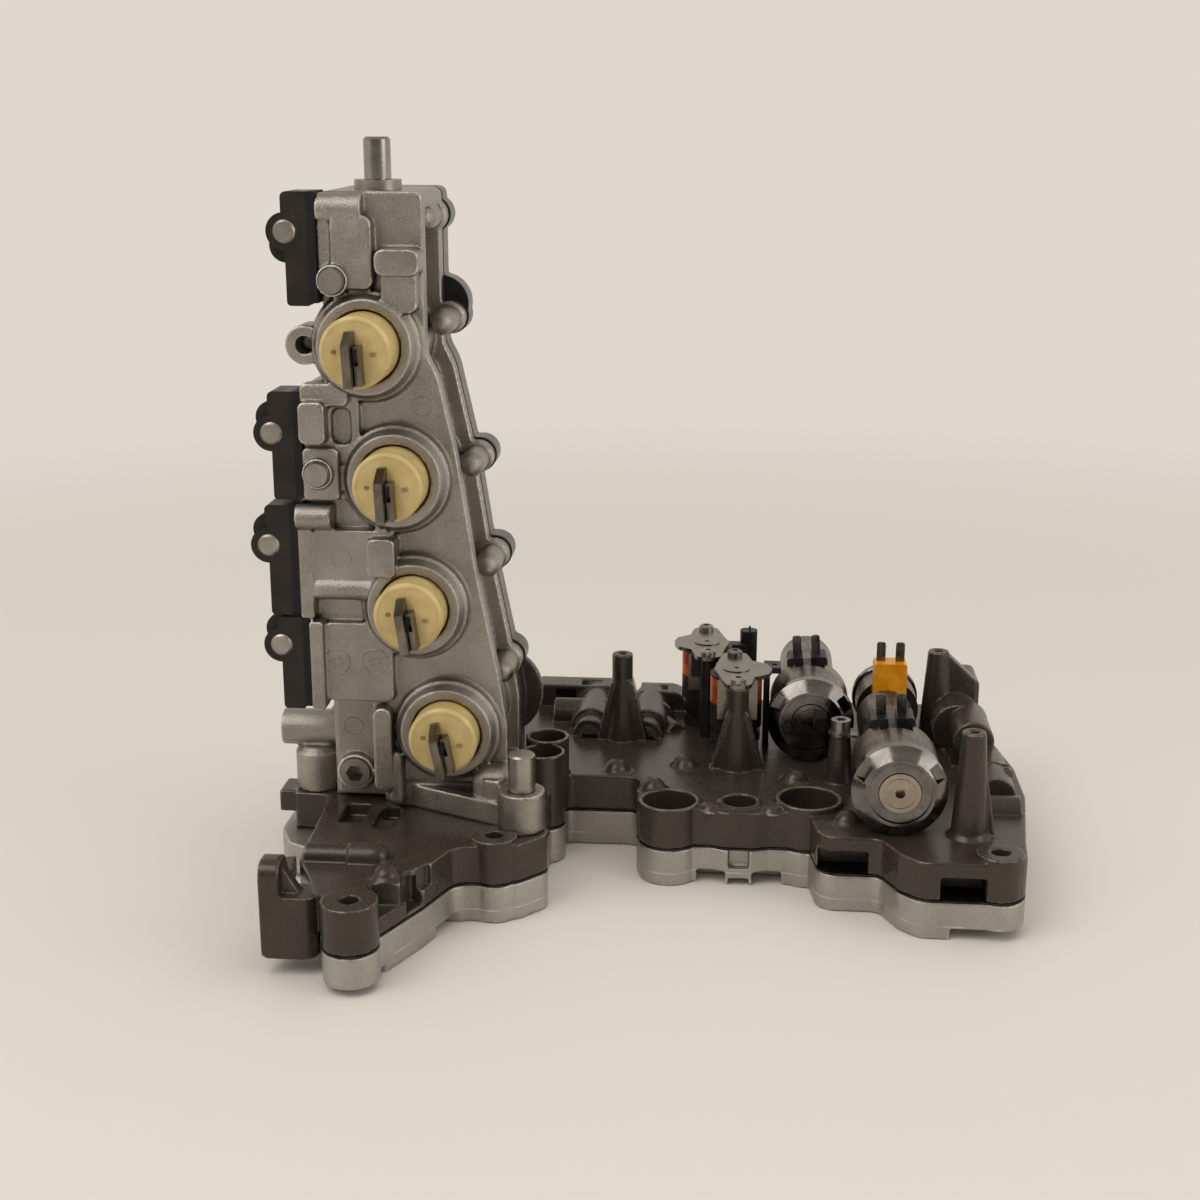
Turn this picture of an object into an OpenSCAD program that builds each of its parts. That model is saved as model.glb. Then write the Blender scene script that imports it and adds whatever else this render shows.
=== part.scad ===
// Valve body of an automatic gearbox: two stacked castings that carry solenoids,
// with an upright tower of four shift pistons on the left.
// X runs to the right, Y to the back, Z up from the feet of the lower casting.

/* [Plate stack] */
// Thickness of the bare lower casting
lower_h = 14; // [12:0.5:18]
// Depth of the relief under the lower casting
relief_h = 2.5; // [1:0.25:4]
// Thickness of the separator plate
separator_h = 0.8; // [0.6:0.1:1.5]
// Thickness of the coated upper casting
deck_h = 14.2; // [12:0.2:18]
// Height of machined rims above the deck
rim_h = 2; // [1:0.25:3]
// Diameter of the bolt holes through the stack
bolt_hole_d = 6.6; // [5.5:0.1:7]
// Diameter of the bolt bosses
bolt_boss_d = 17; // [15:0.5:19]
// Distance between the two front bolt holes
bolt_span = 180; // [178:0.5:182]

/* [Ports] */
// Bore of the left oil port
port_a_d = 20; // [18:0.5:21]
// Bore of the middle oil port
port_b_d = 12.6; // [10:0.2:14]
// Bore of the right oil port
port_c_d = 22; // [20:0.5:23]
// Wall of the port rims
port_wall = 1.6; // [1:0.1:2.2]
// Depth of the ports below their rims
port_depth = 13; // [9:0.5:14]
// Bore of the twin tubes
tube_d = 14.2; // [12:0.2:14.4]
// Wall of the twin tubes
tube_wall = 1.4; // [1:0.1:1.6]
// Height of the twin tubes above the deck
tube_h = 15; // [10:0.5:20]
// Distance between the twin tubes
tube_pitch = 14.8; // [14:0.1:16]

/* [Posts] */
// Height of the cover posts above the deck
post_h = 37; // [30:0.5:42]
// Diameter of the cover posts at the top
post_d = 8.6; // [7:0.2:10]
// Screw hole in the cover posts
post_hole_d = 3.4; // [2.5:0.1:4.5]

/* [Tower] */
// Height of the tower above the deck
tower_h = 227; // [222:1:234]
// Depth of the tower casting
tower_depth = 40; // [36:0.5:46]
// Thickness of the tower's front and rear flanges
flange_t = 6; // [4:0.5:8]
// Width of the groove between the flanges on the right side
groove_w = 6; // [3:0.5:8]
// Thickness of the tower's gasket
gasket_t = 0.8; // [0.5:0.1:1.5]
// Thickness of the coated back plate
back_plate_t = 11; // [8:0.5:14]

/* [Pistons] */
// Height of the lowest piston above the deck
piston_first_z = 32.5; // [32:0.5:35]
// Distance from one piston to the next
piston_pitch = 47.2; // [46:0.1:48]
// Diameter of the piston heads
piston_d = 25; // [22:0.5:26]
// Length of the piston heads
piston_len = 34; // [30:0.5:36]
// How far the lowest piston stands out of its boss
reach_low = 8; // [6:0.5:12]
// How far the highest piston stands out of its boss
reach_high = 14; // [10:0.5:16]
// Travel of the pistons each way
piston_travel = 6; // [3:0.5:6]
// Radial play of the pistons in their bores
piston_play = 0.06; // [0.03:0.01:0.1]
// Height of the ring bosses in front of the wall
boss_h = 8; // [6:0.5:10]
// Wall of the ring bosses at their front
boss_wall = 3.4; // [2.5:0.1:4.5]
// Reach of the shift fingers in front of the heads
finger_reach = 10; // [7:0.5:12]
// Thickness of the finger blades
finger_t = 3; // [2.4:0.1:3.6]

/* [Sensors] */
// Thickness of the sensor housings
sensor_t = 8; // [6:0.5:10]
// Depth of the sensor housings
sensor_depth = 14; // [12:0.5:20]
// Thickness of the seals behind the sensors
seal_t = 3; // [2:0.25:4]
// Diameter of the sensor fixing pins
sensor_pin_d = 8; // [6:0.2:9]

/* [Pins] */
// Diameter of the locating pin on the tower
locating_pin_d = 9.6; // [8:0.2:11]
// Free length of the locating pin
locating_pin_h = 14.5; // [10:0.5:18]
// Diameter of the locating pin's collar
collar_d = 16.6; // [14:0.2:18]
// Diameter of the foot dowel
dowel_d = 10; // [8:0.2:11]
// Free length of the foot dowel
dowel_h = 14; // [10:0.5:18]

/* [Upright solenoids] */
// Height of the upright solenoids above the deck
coil_top = 35.5; // [33:0.5:38]
// Diameter of the upright coils
coil_d = 21; // [19:0.5:22]
// Width of the yoke plates
yoke_w = 21; // [18:0.5:22]
// Thickness of the yoke plates and straps
yoke_t = 1.6; // [1.2:0.1:2]
// Distance between the two screws of a yoke plate
yoke_pitch = 36.6; // [35:0.2:38]

/* [Regulators] */
// Diameter of the front rings of the regulators
ring_d = 34.6; // [32:0.2:36]
// Length of the front rings
ring_len = 8; // [6:0.5:10]
// Diameter of the front cans
can_d = 32; // [28:0.5:32]
// Length of the front cans
can_len = 25; // [18:0.5:26]
// Diameter of the rear cans
nose_d = 22.8; // [20:0.2:24]
// Length of the rear cans behind the connector
nose_len = 40; // [34:0.5:42]
// Length of the connector blocks
plug_len = 12; // [10:0.5:14]
// Distance between the two terminals
terminal_pitch = 7.7; // [7:0.1:8.5]

/* [Valves] */
// Diameter of the spool bores
spool_d = 9; // [8:0.2:10]
// Radial play of the spools
spool_play = 0.03; // [0.02:0.01:0.06]
// Travel of the spools
spool_travel = 4; // [2:0.5:5]

/* [Hidden] */
$fn = 64;
// Turn of each straight step on rounded corners
arc_step = 18;
// Overlap of pieces that are cast together
bite = 1;
// Clearance of screws in their holes
screw_gap = 0.1;
// Gap of parts that lie on a curved seat
seat_gap = 0.1;

separator_z = lower_h;
deck_z = lower_h + separator_h;
deck_top = deck_z + deck_h;

// Places on the deck, seen from above
port_a = [6.2, -8.9];
port_b = [32.9, -6.2];
port_c = [59, -5.5];
// Ports: place, bore and the height of the rim as a share of the bolt rims
ports = [[port_a, port_a_d, 0.8], [port_b, port_b_d, 0.5], [port_c, port_c_d, 1.3]];
bolt_row_y = -49.7;
bolt_mid_x = 35;
bolt_left = [bolt_mid_x - bolt_span / 2, bolt_row_y];
bolt_right = [bolt_mid_x + bolt_span / 2, bolt_row_y];
bolt_corner = [-95, -108];
corner_boss_d = bolt_boss_d + 2.4;
bolts = [bolt_left, bolt_right, bolt_corner];
tube_front = [-43.4, 3.7];
tube_back = tube_front + [0, tube_pitch];
// Twin tubes: place and how much taller than the front one
tubes = [[tube_front, 0], [tube_back, 0.8]];
domes = [[-16.5, 24], [10.3, 31], [54.3, 19], [72.5, -22], [-87.3, -84.8]];
plain_dome = [-0.6, 5];
dome_d = 10;
dome_h = 4.6;
hidden_screws = [[-127, 30], [-70, 62], [97, -29], [131, -8], [122, 62], [72, 106], [-44, 82]];
screws = concat(domes, hidden_screws);
screw_d = 5;
screw_head_d = 9;
screw_head_h = 4;
screw_seat_z = relief_h + screw_head_h + 0.5;
screw_tip_z = deck_top - 3;

// Outline of the deck: x, y and corner radius
deck_points = [
    [-138.5, 62, 8], [-138.5, -11, 2], [-124, -12, 3], [-121, -72, 4], [-108, -100, 4], [-95, -112, 1],
    [-86.5, -101, 2], [-76, -78.5, 4], [-68, -57, 8], [-58, -57, 2], [-46, -54, 4], [-36, -43, 6],
    [-40, -28, 4], [-40, 12, 3], [-34, 17, 4], [-6.3, 17, 5], [-6.3, -10, 6], [4, -16, 4],
    [22, -15.5, 2], [28, -17.5, 2], [38, -17.5, 2], [44, -15.5, 2], [59, -16, 3],
    [62, -37, 8], [84, -37, 5], [90, -50, 6], [97, -57, 8], [134, -57, 9], [136, -35, 12],
    [142, 10, 24], [141.6, 40, 16], [134, 88, 14], [118, 117, 12], [-55, 117, 10], [-78, 100, 12],
    [-100, 72, 8]
];
// Left lug of the lower casting
lug_points = [[-144, 8, 3], [-144, -10, 4], [-138, -24, 5], [-126, -31, 3], [-118, -42, 2], [-112, 8, 1]];

// Tower, seen from the front: height is counted from the deck
wall_y = -22;
wall_back = wall_y + tower_depth;
plate_front = wall_back + gasket_t;
plate_back = plate_front + back_plate_t;
boss_front = wall_y - boss_h;
// Heights on the tower are given for a tower of this height and follow the real one
drawn_h = 227;
function level(z) = z * tower_h / drawn_h;
function levels(points) = [for (p = points) [p.x, level(p.y), p.z]];
tower_points = levels([
    [-117, drawn_h, 3], [-80.5, drawn_h, 3], [-80.5, 171, 10], [-76.5, 163, 10], [-70.5, 135, 20],
    [-64, 91, 20], [-56.5, 53, 12], [-53.5, 33, 8], [-54, 0, 1], [-136, 0, 1], [-136, 14, 6],
    [-122, 36, 4], [-125, 44, 2], [-125, 75.4, 0.3], [-128, 75.4, 0.3], [-128, 117.6, 0.3],
    [-125, 117.6, 0.3], [-125, 160, 3], [-112, 163, 4], [-112, 186, 3], [-117, 188, 2]
]);
piston_x = [-75.3, -86.2, -91.8, -101];
function piston_reach(i) = reach_low + (reach_high - reach_low) * i / 3;
function piston_z(i) = level(piston_first_z + i * piston_pitch);
bore_d = piston_d + 2 * piston_play;
bore_floor = boss_front - reach_low + piston_len + piston_travel + 2;
mouth_d = piston_d + 1.6;
mouth_depth = 2;
boss_d = mouth_d + 2 * boss_wall;
boss_root_d = boss_d + 8;
finger_roll = [11, 8, 2, 3];

// Screws of the tower's back plate: x and height
back_screws = levels([
    [-78, 180, 0], [-68.3, 128, 0], [-63, 90, 0], [-58.3, 48.5, 0], [-84, 217, 0],
    [-109, 214, 0], [-114, 148, 0], [-117, 96, 0], [-117, 50, 0]
]);
back_screw_d = 5;
back_screw_len = 15;
back_head_d = 8.6;
back_head_h = 5;
back_head_room = 10;
// Round ends of the back plate: x, height and diameter
plate_ear = [-82, level(184.5), 21];
plate_disc = [-64, level(31), 36];
plate_disc_start = 7;
cover_left = -112;
cover_right = -78;
cover_r = 5;
lug_d = 12;
// Screws right of this line stand on the sloping side
right_half = -100;
bullet_d = 9.4;
toe_y = -11;
toe_x = -104;
toe_left = -121.5;
toe_h = 42;

// Sensors: x of the mounting face, lowest and highest edge, height of the pin
sensors = [for (s = [
    [-117, 188, drawn_h, 213.5], [-125, 119, 158, 143], [-128, 76, 117, 102], [-125, 40, 75, 64.5]
]) [s[0], level(s[1]), level(s[2]), level(s[3])]];
function sensor_left(s) = s[0] - seal_t - sensor_t;
sensor_front = wall_y - 5;
pin_boss_d = 13;
core_plugs = levels([[-111.4, 197, 0], [-119.4, 129, 0]]);
core_plug_d = 9.4;
hex_plug = [-112.2, 12.2];
hex_plug_d = 11.4;
hex_plug_front = toe_y - 9;
hex_socket = 6;
pad_front = wall_y - 6;
block_front = wall_y - 10;
locating_pin = [-98.5, -8];
collar_h = 3.4;
pin_seat = 8;
// Pins are thinner in their seats, up to a little above them
pin_step = 0.6;
pin_ease = 0.3;
foot = [-46.3, -37.9];
foot_d = 17;
foot_h = 15;

// Upright solenoids and regulators: places on the deck
coil_a = [17.3, 86];
coil_b = [30.2, 49.8];
uprights = [coil_a, coil_b];
coil_foot = 10;
coil_z = 22;
yoke_turn = 3;
plate_shift = [-2.3, 2.8];
core_d = 10.8;
// Cover posts, one of them under the front screw of a yoke
post_left = [-17, 62];
post_mid = coil_b + spun([0, -yoke_pitch / 2], yoke_turn);
post_right = [116, -31];
post_back = [113.6, 77];
post_mid_h = coil_top - yoke_t;
regulator_c = [60.3, 37];
regulator_d = [90.3, -37];
regulator_e = [92.7, 90];
small = 0.79;
short_can = 21;
short_nose = 8;
amber_top = 22.6;
plug_roll = 4;
collar_step = 3;
ring_lift = 0.2;
axis_z = deck_top + ring_lift + ring_d / 2;
small_axis_z = deck_top + ring_lift + small * ring_d / 2;
pole_d = 15;
terminal_w = 3.6;
terminal_t = 0.9;
terminal_h = 8;
seat_w = 18;
clamp_at = [71.3, 20];
clamp_z = 25.4;
clamp_d = 7.6;

// Spool valves in the two humps at the back
spool_x = [-31, -7];
spool_front = 61.5;
hump_d = 17;
hump_len = 46;
hump_nose_d = 13.4;
spool_z = deck_top + 1;
valve_plug_len = 6;
spring_len = 10;
spool_len = 20;
spring_wire = 0.9;
spring_turns = 5;
spool_start = spool_front + valve_plug_len + spring_len;
spool_bore_len = valve_plug_len + spring_len + spool_len + 0.5;

// Points of a closed outline with each corner rounded by its own radius
function unit(v) = v / norm(v);
function spun(v, a) = [v.x * cos(a) - v.y * sin(a), v.x * sin(a) + v.y * cos(a)];
function corner(a, p, b, r) =
    let (u = unit(a - p), v = unit(b - p), half = acos(max(-1, min(1, u * v))) / 2)
    half > 88 ? [p] :
    let (
        reach = min(r / tan(half), 0.49 * norm(a - p), 0.49 * norm(b - p)),
        radius = reach * tan(half),
        centre = p + unit(u + v) * radius / sin(half),
        turn = 180 - 2 * half,
        side = cross(p - a, b - p) > 0 ? 1 : -1,
        steps = max(1, ceil(turn / arc_step))
    )
    [for (i = [0:steps]) centre + spun(p + u * reach - centre, side * turn * i / steps)];
function flat(p) = [p.x, p.y];
function rounded(points) =
    let (n = len(points))
    [for (i = [0:n - 1])
        let (before = points[(i + n - 1) % n], after = points[(i + 1) % n])
        each corner(flat(before), flat(points[i]), flat(after), points[i].z)];

// A flat outline in X and Z, made solid from its front face towards the back
module along_y(front, depth) {
    translate([0, front + depth, 0]) rotate([90, 0, 0]) linear_extrude(depth) children();
}

// A flat outline in Y and Z, made solid towards the right
module along_x(left, width) {
    translate([left, 0, 0]) rotate([90, 0, 90]) linear_extrude(width) children();
}

// A round bar along Y, or a cone with two diameters
module bar_y(x, front, z, d, depth, d_back = -1) {
    translate([x, front, z]) rotate([-90, 0, 0]) cylinder(d1 = d, d2 = d_back < 0 ? d : d_back, h = depth);
}

// A block given by its lowest and highest corners
module block(low, high) {
    translate(low) cube(high - low);
}

// A block with rounded upright edges, seen from the front
module front_block(left, low, right, high, front, back, r = 2) {
    along_y(front, back - front)
        polygon(rounded([[left, low, r], [right, low, r], [right, high, r], [left, high, r]]));
}

module at(place, z = 0) {
    translate([place.x, place.y, z]) children();
}

module deck_shape() {
    polygon(rounded(deck_points));
    for (p = [bolt_left, bolt_right]) translate(p) circle(d = bolt_boss_d);
    translate(bolt_corner) circle(d = corner_boss_d);
    translate(port_a) circle(d = port_a_d + 2 * port_wall);
    translate(port_b) circle(d = port_b_d + 2 * port_wall + 5);
    translate(port_c) circle(d = port_c_d + 2 * port_wall);
    for (p = [tube_front, tube_back]) translate(p) circle(d = tube_d + 2 * tube_wall);
}

// Holes that run through the whole stack
module stack_holes() {
    for (p = bolts) at(p, -bite) cylinder(d = bolt_hole_d, h = deck_top + rim_h + 2 * bite);
}

// Room for the upright ear, which hangs down beside the lower casting
module ear_room() {
    block([-130, -107, -bite], [-107.4, -84, deck_z + bite]);
}

module screw_holes() {
    for (p = screws) at(p, -bite) cylinder(d = screw_d + 2 * screw_gap, h = screw_tip_z + screw_gap + bite);
}

// Lower casting: bare aluminium with feet, relief and screw pockets underneath
module lower_body() {
    color([0.66, 0.66, 0.65]) difference() {
        union() {
            linear_extrude(lower_h) deck_shape();
            linear_extrude(lower_h) polygon(rounded(lug_points));
        }
        stack_holes();
        screw_holes();
        for (p = screws) at(p, -bite) cylinder(d = screw_head_d + 1.2, h = screw_seat_z + bite);
        lower_relief();
        ear_room();
    }
}

// Relief pockets under the lower casting and the notches along its front edge
module lower_relief() {
    pockets = [
        [[-130, 2], [-92, 52]], [[-60, 30], [-40, 66]], [[14, 50], [48, 108]],
        [[82, -30], [124, 50]], [[84, 72], [116, 104]]
    ];
    for (p = pockets) block([p[0].x, p[0].y, -bite], [p[1].x, p[1].y, relief_h]);
    notch_front = -40;
    for (x = [[17, 28], [38, 49]]) block([x[0], notch_front, -bite], [x[1], -8, 2 * relief_h]);
    block([29, notch_front, -bite], [37, -12, relief_h]);
    block([29, notch_front, 2.6 * relief_h], [37, -14, lower_h + bite]);
    block([108, -70, -bite], [150, -40, 1.6 * relief_h]);
    block([-76, -70, -bite], [-54, -58, 1.4 * relief_h]);
    block([-110, -130, -bite], [-80, -98, relief_h]);
    block([-150, -50, -bite], [-118, 12, 0.8 * relief_h]);
}

// Separator plate between the castings
module separator_plate() {
    color([0.16, 0.15, 0.14]) difference() {
        translate([0, 0, separator_z]) linear_extrude(separator_h) deck_shape();
        stack_holes();
        screw_holes();
        ear_room();
    }
}

// Upper casting: dark coated deck with ports, posts, humps and valve housings
module upper_body() {
    color([0.23, 0.2, 0.18]) difference() {
        union() {
            translate([0, 0, deck_z]) linear_extrude(deck_h) deck_shape();
            deck_rims();
            deck_posts();
            deck_domes();
            front_ear();
            spool_humps();
            back_rail();
            right_housings();
            regulator_seats();
        }
        stack_holes();
        screw_holes();
        port_bores();
        deck_windows();
        post_holes();
        for (x = spool_x) bar_y(x, spool_front - bite, spool_z, spool_d, spool_bore_len + bite);
        regulator_hollows();
        at(clamp_at, deck_top) cylinder(d = screw_d + 2 * screw_gap, h = clamp_z + bite);
    }
}

// Machined rims of the ports, the twin tubes and the bolt bosses
module deck_rims() {
    for (p = ports) at(p[0], deck_top - bite) cylinder(d = p[1] + 2 * port_wall, h = p[2] * rim_h + bite);
    difference() {
        for (p = [bolt_left, bolt_right])
            at(p, deck_top - bite) cylinder(d = bolt_boss_d, h = rim_h + bite);
        at(foot, deck_top) cylinder(d = foot_d + 0.8, h = rim_h + bite);
    }
    at(bolt_corner, deck_top - bite) cylinder(d = corner_boss_d, h = rim_h + bite);
    for (t = tubes)
        at(t[0], deck_top - bite) cylinder(d = tube_d + 2 * tube_wall, h = tube_h + t[1] + bite);
}

module port_bores() {
    for (p = ports)
        at(p[0], deck_top + p[2] * rim_h - port_depth) cylinder(d = p[1], h = port_depth + bite);
    for (t = tubes)
        at(t[0], deck_top + t[1] - port_depth / 2) cylinder(d = tube_d, h = tube_h + port_depth);
}

// Cover posts: a round top on a foot that spreads like the letter A
module a_post(place, height, foot_w, foot_depth) {
    neck = height * 0.3;
    at(place, deck_top) {
        translate([0, 0, -bite]) cylinder(d = post_d, h = height + bite);
        along_y(-foot_depth / 2, foot_depth) polygon([
            [-foot_w / 2, -bite], [foot_w / 2, -bite], [foot_w / 2, 1.5],
            [post_d / 2, height - neck], [-post_d / 2, height - neck], [-foot_w / 2, 1.5]
        ]);
        translate([0, 0, -bite]) cylinder(d1 = 1.8 * post_d, d2 = post_d, h = height - neck + bite);
    }
}

module deck_posts() {
    a_post(post_left, post_h, 20, 8);
    a_post(post_mid, post_mid_h, 20, 7);
    at(post_right, deck_top) {
        translate([0, 0, -bite]) cylinder(d1 = 13.6, d2 = post_d, h = post_h + 3 + bite);
        translate([0, 0, -bite]) cylinder(d1 = 18, d2 = 12, h = 3 + bite);
        along_y(-1.6, 3.2) polygon([[0, -bite], [9, -bite], [8.4, 6], [4.6, post_h - 8], [0, post_h]]);
    }
    at(post_back, deck_top) {
        translate([0, 0, -bite]) cylinder(d1 = 14, d2 = post_d, h = post_h + bite);
        along_y(-3, 6) polygon([[0, 0], [16, 0], [16, 25], [4, post_h - 1], [0, post_h - 1]]);
    }
    at(clamp_at, deck_top - bite) cylinder(d1 = clamp_d + 4, d2 = clamp_d, h = clamp_z - 6 + bite);
}

module post_holes() {
    hole_depth = 12;
    tops = [[post_left, post_h], [post_mid, post_mid_h], [post_right, post_h + 3], [post_back, post_h]];
    for (t = tops) at(t[0], deck_top + t[1] - hole_depth) cylinder(d = post_hole_d, h = hole_depth + bite);
}

// Blind ends of the casting screws, a round rib and the small bosses of the deck
module deck_domes() {
    for (p = concat(domes, [plain_dome])) at(p, deck_top) {
        translate([0, 0, -bite]) cylinder(d1 = dome_d + 4, d2 = dome_d, h = 1 + bite);
        translate([0, 0, dome_h - dome_d / 2]) sphere(d = dome_d);
    }
    rib_d = 9;
    rib_end_d = 10.6;
    rib = [-119, -70.5, deck_top + 0.8];
    translate(rib) rotate([0, 90, 0]) cylinder(d = rib_d, h = 17);
    translate(rib + [16, 0, 0]) rotate([0, 90, 0]) cylinder(d = rib_end_d, h = 9);
    translate(rib + [25, 0, 0]) sphere(d = rib_end_d);
    block([-145, -8, deck_top - 9], [-136, 6, deck_top - 0.6]);
    for (x = [22, 45]) at([x, -12], deck_top - bite) cylinder(d1 = 10, d2 = 6, h = bite + 1.6);
}

// Upright ear at the front left corner, with its pillar, web and slanted rib
module front_ear() {
    ear_left = -127;
    ear_right = -107.8;
    ear_front = -104;
    ear_low = 6;
    ear_top = deck_top + 11.5;
    slab_t = 7.2;
    along_x(ear_left, slab_t) polygon(rounded([
        [ear_front, ear_low, 1], [ear_front + 16, ear_low + 5, 2], [ear_front + 17, ear_top - 13, 4],
        [ear_front + 11, ear_top, 4], [ear_front, ear_top, 5]
    ]));
    translate([0, 0, ear_low]) linear_extrude(deck_top - 0.5 - ear_low) polygon(rounded([
        [ear_left + 1, ear_front, 1], [ear_right, ear_front, 5],
        [ear_right, ear_front + 13, 4], [ear_left + 1, ear_front + 13, 1]
    ]));
    along_y(ear_front + 4, 5) polygon([
        [ear_left + 2, deck_top - 3], [-112.5, deck_top - 3], [ear_left + slab_t, ear_top - 2],
        [ear_left + 2, ear_top - 2]
    ]);
    block([ear_right - 3, ear_front + 5, deck_z], [-98, ear_front + 12, deck_top - 3]);
    translate([-123.5, -94, deck_top - 8]) rotate([0, 0, 8]) cube([4, 26, 7]);
}

// Half round humps of the two spool bores and the ridge beside them
module spool_humps() {
    for (x = spool_x) {
        bar_y(x, spool_front, spool_z, hump_nose_d, hump_len);
        bar_y(x, spool_front + 9, spool_z, hump_d, hump_len - 9);
    }
    ridge_d = 15;
    ridge_end = -4;
    translate([-48, 86, deck_top + 1]) rotate([0, 90, 0]) cylinder(d = ridge_d, h = 48 + ridge_end);
    translate([ridge_end, 86, deck_top + 1]) sphere(d = ridge_d);
    translate([ridge_end, 84, deck_top - 1]) rotate([0, 90, -52]) cylinder(d1 = 12, d2 = 8, h = 15);
}

// Slotted rail along the back edge
module back_rail() {
    difference() {
        union() {
            block([-57, 99, deck_top - bite], [-16, 112, deck_top + 10]);
            block([-12, 97, deck_top - bite], [1, 110, deck_top + 9]);
            bar_y(1, 97, deck_top, 18, 13);
        }
        block([-49, 97, deck_top + 2], [-40, 104, deck_top + 8]);
        block([-38, 101, deck_top + 7], [-29, 108, deck_top + 11]);
        block([-9, 100, deck_top + 6], [0, 106, deck_top + 12]);
    }
}

// Stepped valve housings along the right edge
module right_housings() {
    barrel_x = 125;
    front_block(121, deck_top - bite, 131, deck_top + 25.5, 76, 96, 3);
    bar_y(120.5, 58, deck_top + 9.5, 20, 30);
    front_block(112, deck_top - bite, 130, deck_top + 9, 66, 88, 1);
    front_block(115.5, deck_top - bite, 133, deck_top + 16, 60, 66, 3);
    bar_y(barrel_x, 38, deck_top + 11, 16.4, 28);
    front_block(barrel_x - 8, deck_top - bite, barrel_x + 8, deck_top + 10, 39, 66, 1);
    bar_y(barrel_x + 5, 4, deck_top + 1, 16, 36);
    front_block(120, deck_top - bite, 138, deck_top + 8, 18, 24, 2);
    translate([118, -4, deck_top - 2]) rotate([0, 90, 0]) cylinder(d = 14, h = 20);
}

// Saddles under the rear cans
module regulator_seats() {
    for (r = [regulator_c, regulator_d]) {
        back = r.y + ring_len + can_len + plug_len + nose_len;
        block([r.x - seat_w / 2, back - 14, deck_top - bite], [r.x + seat_w / 2, back - 6, axis_z - 3]);
    }
    front = regulator_e.y - small * (ring_len + short_can + plug_len + short_nose);
    block(
        [regulator_e.x - seat_w / 2, front + 1, deck_top - bite],
        [regulator_e.x + seat_w / 2, front + 5, small_axis_z - 3]
    );
}

module regulator_hollows() {
    for (r = [regulator_c, regulator_d]) bar_y(r.x, r.y + ring_len, axis_z, nose_d + 2 * seat_gap, 90);
    bar_y(regulator_e.x, regulator_e.y - 50, small_axis_z, small * nose_d + 2 * seat_gap, 45);
}

// Windows in the walls, pockets in the deck and the bay behind the left bolt
module deck_windows() {
    window_h = 8.5;
    block([62, -40, deck_z - bite], [80, -27, deck_z + window_h]);
    block([104, -60, deck_z - bite], [120, -46, deck_z + window_h]);
    translate([-76, -88.5, deck_z + 1.5]) rotate([0, 0, 67]) cube([9.5, 9, 10.5]);
    translate([0, 0, deck_top - 8]) linear_extrude(8 + bite) difference() {
        polygon([
            [-92, -91], [-81.5, -90.3], [-82.6, -80.4], [-79, -79], [-75.4, -72], [-66, -80], [-80, -116],
            [-92, -110]
        ]);
        translate(bolt_corner) circle(d = corner_boss_d - 0.2);
    }
    pocket = 5;
    block([-115, -38, deck_top - pocket], [-106, -20, deck_top + bite]);
    at([-97.5, -25], deck_top - pocket) cylinder(d = 8, h = pocket + bite, $fn = 6);
    at([-97.5, -39], deck_top - 2.5) cylinder(d = 8.5, h = pocket);
    block([-101.5, -39, deck_top - 2.5], [-93.5, -26, deck_top + bite]);
    block([118.5, 62.2, deck_top + 12], [130.5, 63.8, deck_top + 18]);
    block([128, 20.4, deck_top + 5], [140, 21.6, deck_top + 10]);
}

module casting_screws() {
    color([0.35, 0.35, 0.36]) for (p = screws) at(p) {
        translate([0, 0, screw_seat_z - screw_head_h]) difference() {
            cylinder(d = screw_head_d, h = screw_head_h);
            translate([0, 0, -bite]) cylinder(d = 5, h = 2 + bite, $fn = 6);
        }
        translate([0, 0, screw_seat_z - bite]) cylinder(d = screw_d, h = screw_tip_z - screw_seat_z + bite);
    }
}

// Everything of the tower is placed from the deck's top
module on_deck() {
    translate([0, 0, deck_top]) children();
}

// Tower: cast housing of the four shift pistons
module tower_housing() {
    color([0.56, 0.55, 0.53]) on_deck() difference() {
        union() {
            difference() {
                union() {
                    tower_core();
                    ring_bosses();
                }
                side_groove();
            }
            left_blocks();
            screw_lugs();
            tower_foot();
        }
        piston_bores();
        tower_holes();
    }
}

// Plain body of the tower, set back at its foot
module tower_core() {
    difference() {
        along_y(wall_y, tower_depth) polygon(rounded(tower_points));
        block([-160, wall_y - bite, -bite], [toe_x, toe_y, toe_h]);
        block([toe_x - bite, wall_y - bite, -bite], [-40, toe_y + 3, 11]);
        block([-160, toe_y - bite, -bite], [toe_left, 0.5, toe_h - 2]);
    }
}

// Sloped rings around the pistons, with the barrels behind them
module ring_bosses() {
    for (i = [0:3]) {
        x = piston_x[i];
        z = piston_z(i);
        bar_y(x, boss_front, z, boss_d, boss_h + bite, boss_root_d);
        bar_y(x, boss_front + boss_h / 2, z, boss_d + 5.5, boss_h / 2 + bite);
        bar_y(x, wall_y, z, boss_root_d, tower_depth);
    }
}

module piston_bores() {
    for (i = [0:3]) {
        x = piston_x[i];
        z = piston_z(i);
        bar_y(x, boss_front - bite, z, bore_d, bore_floor - boss_front + bite);
        bar_y(x, boss_front - bite, z, mouth_d, mouth_depth + bite);
    }
}

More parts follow.
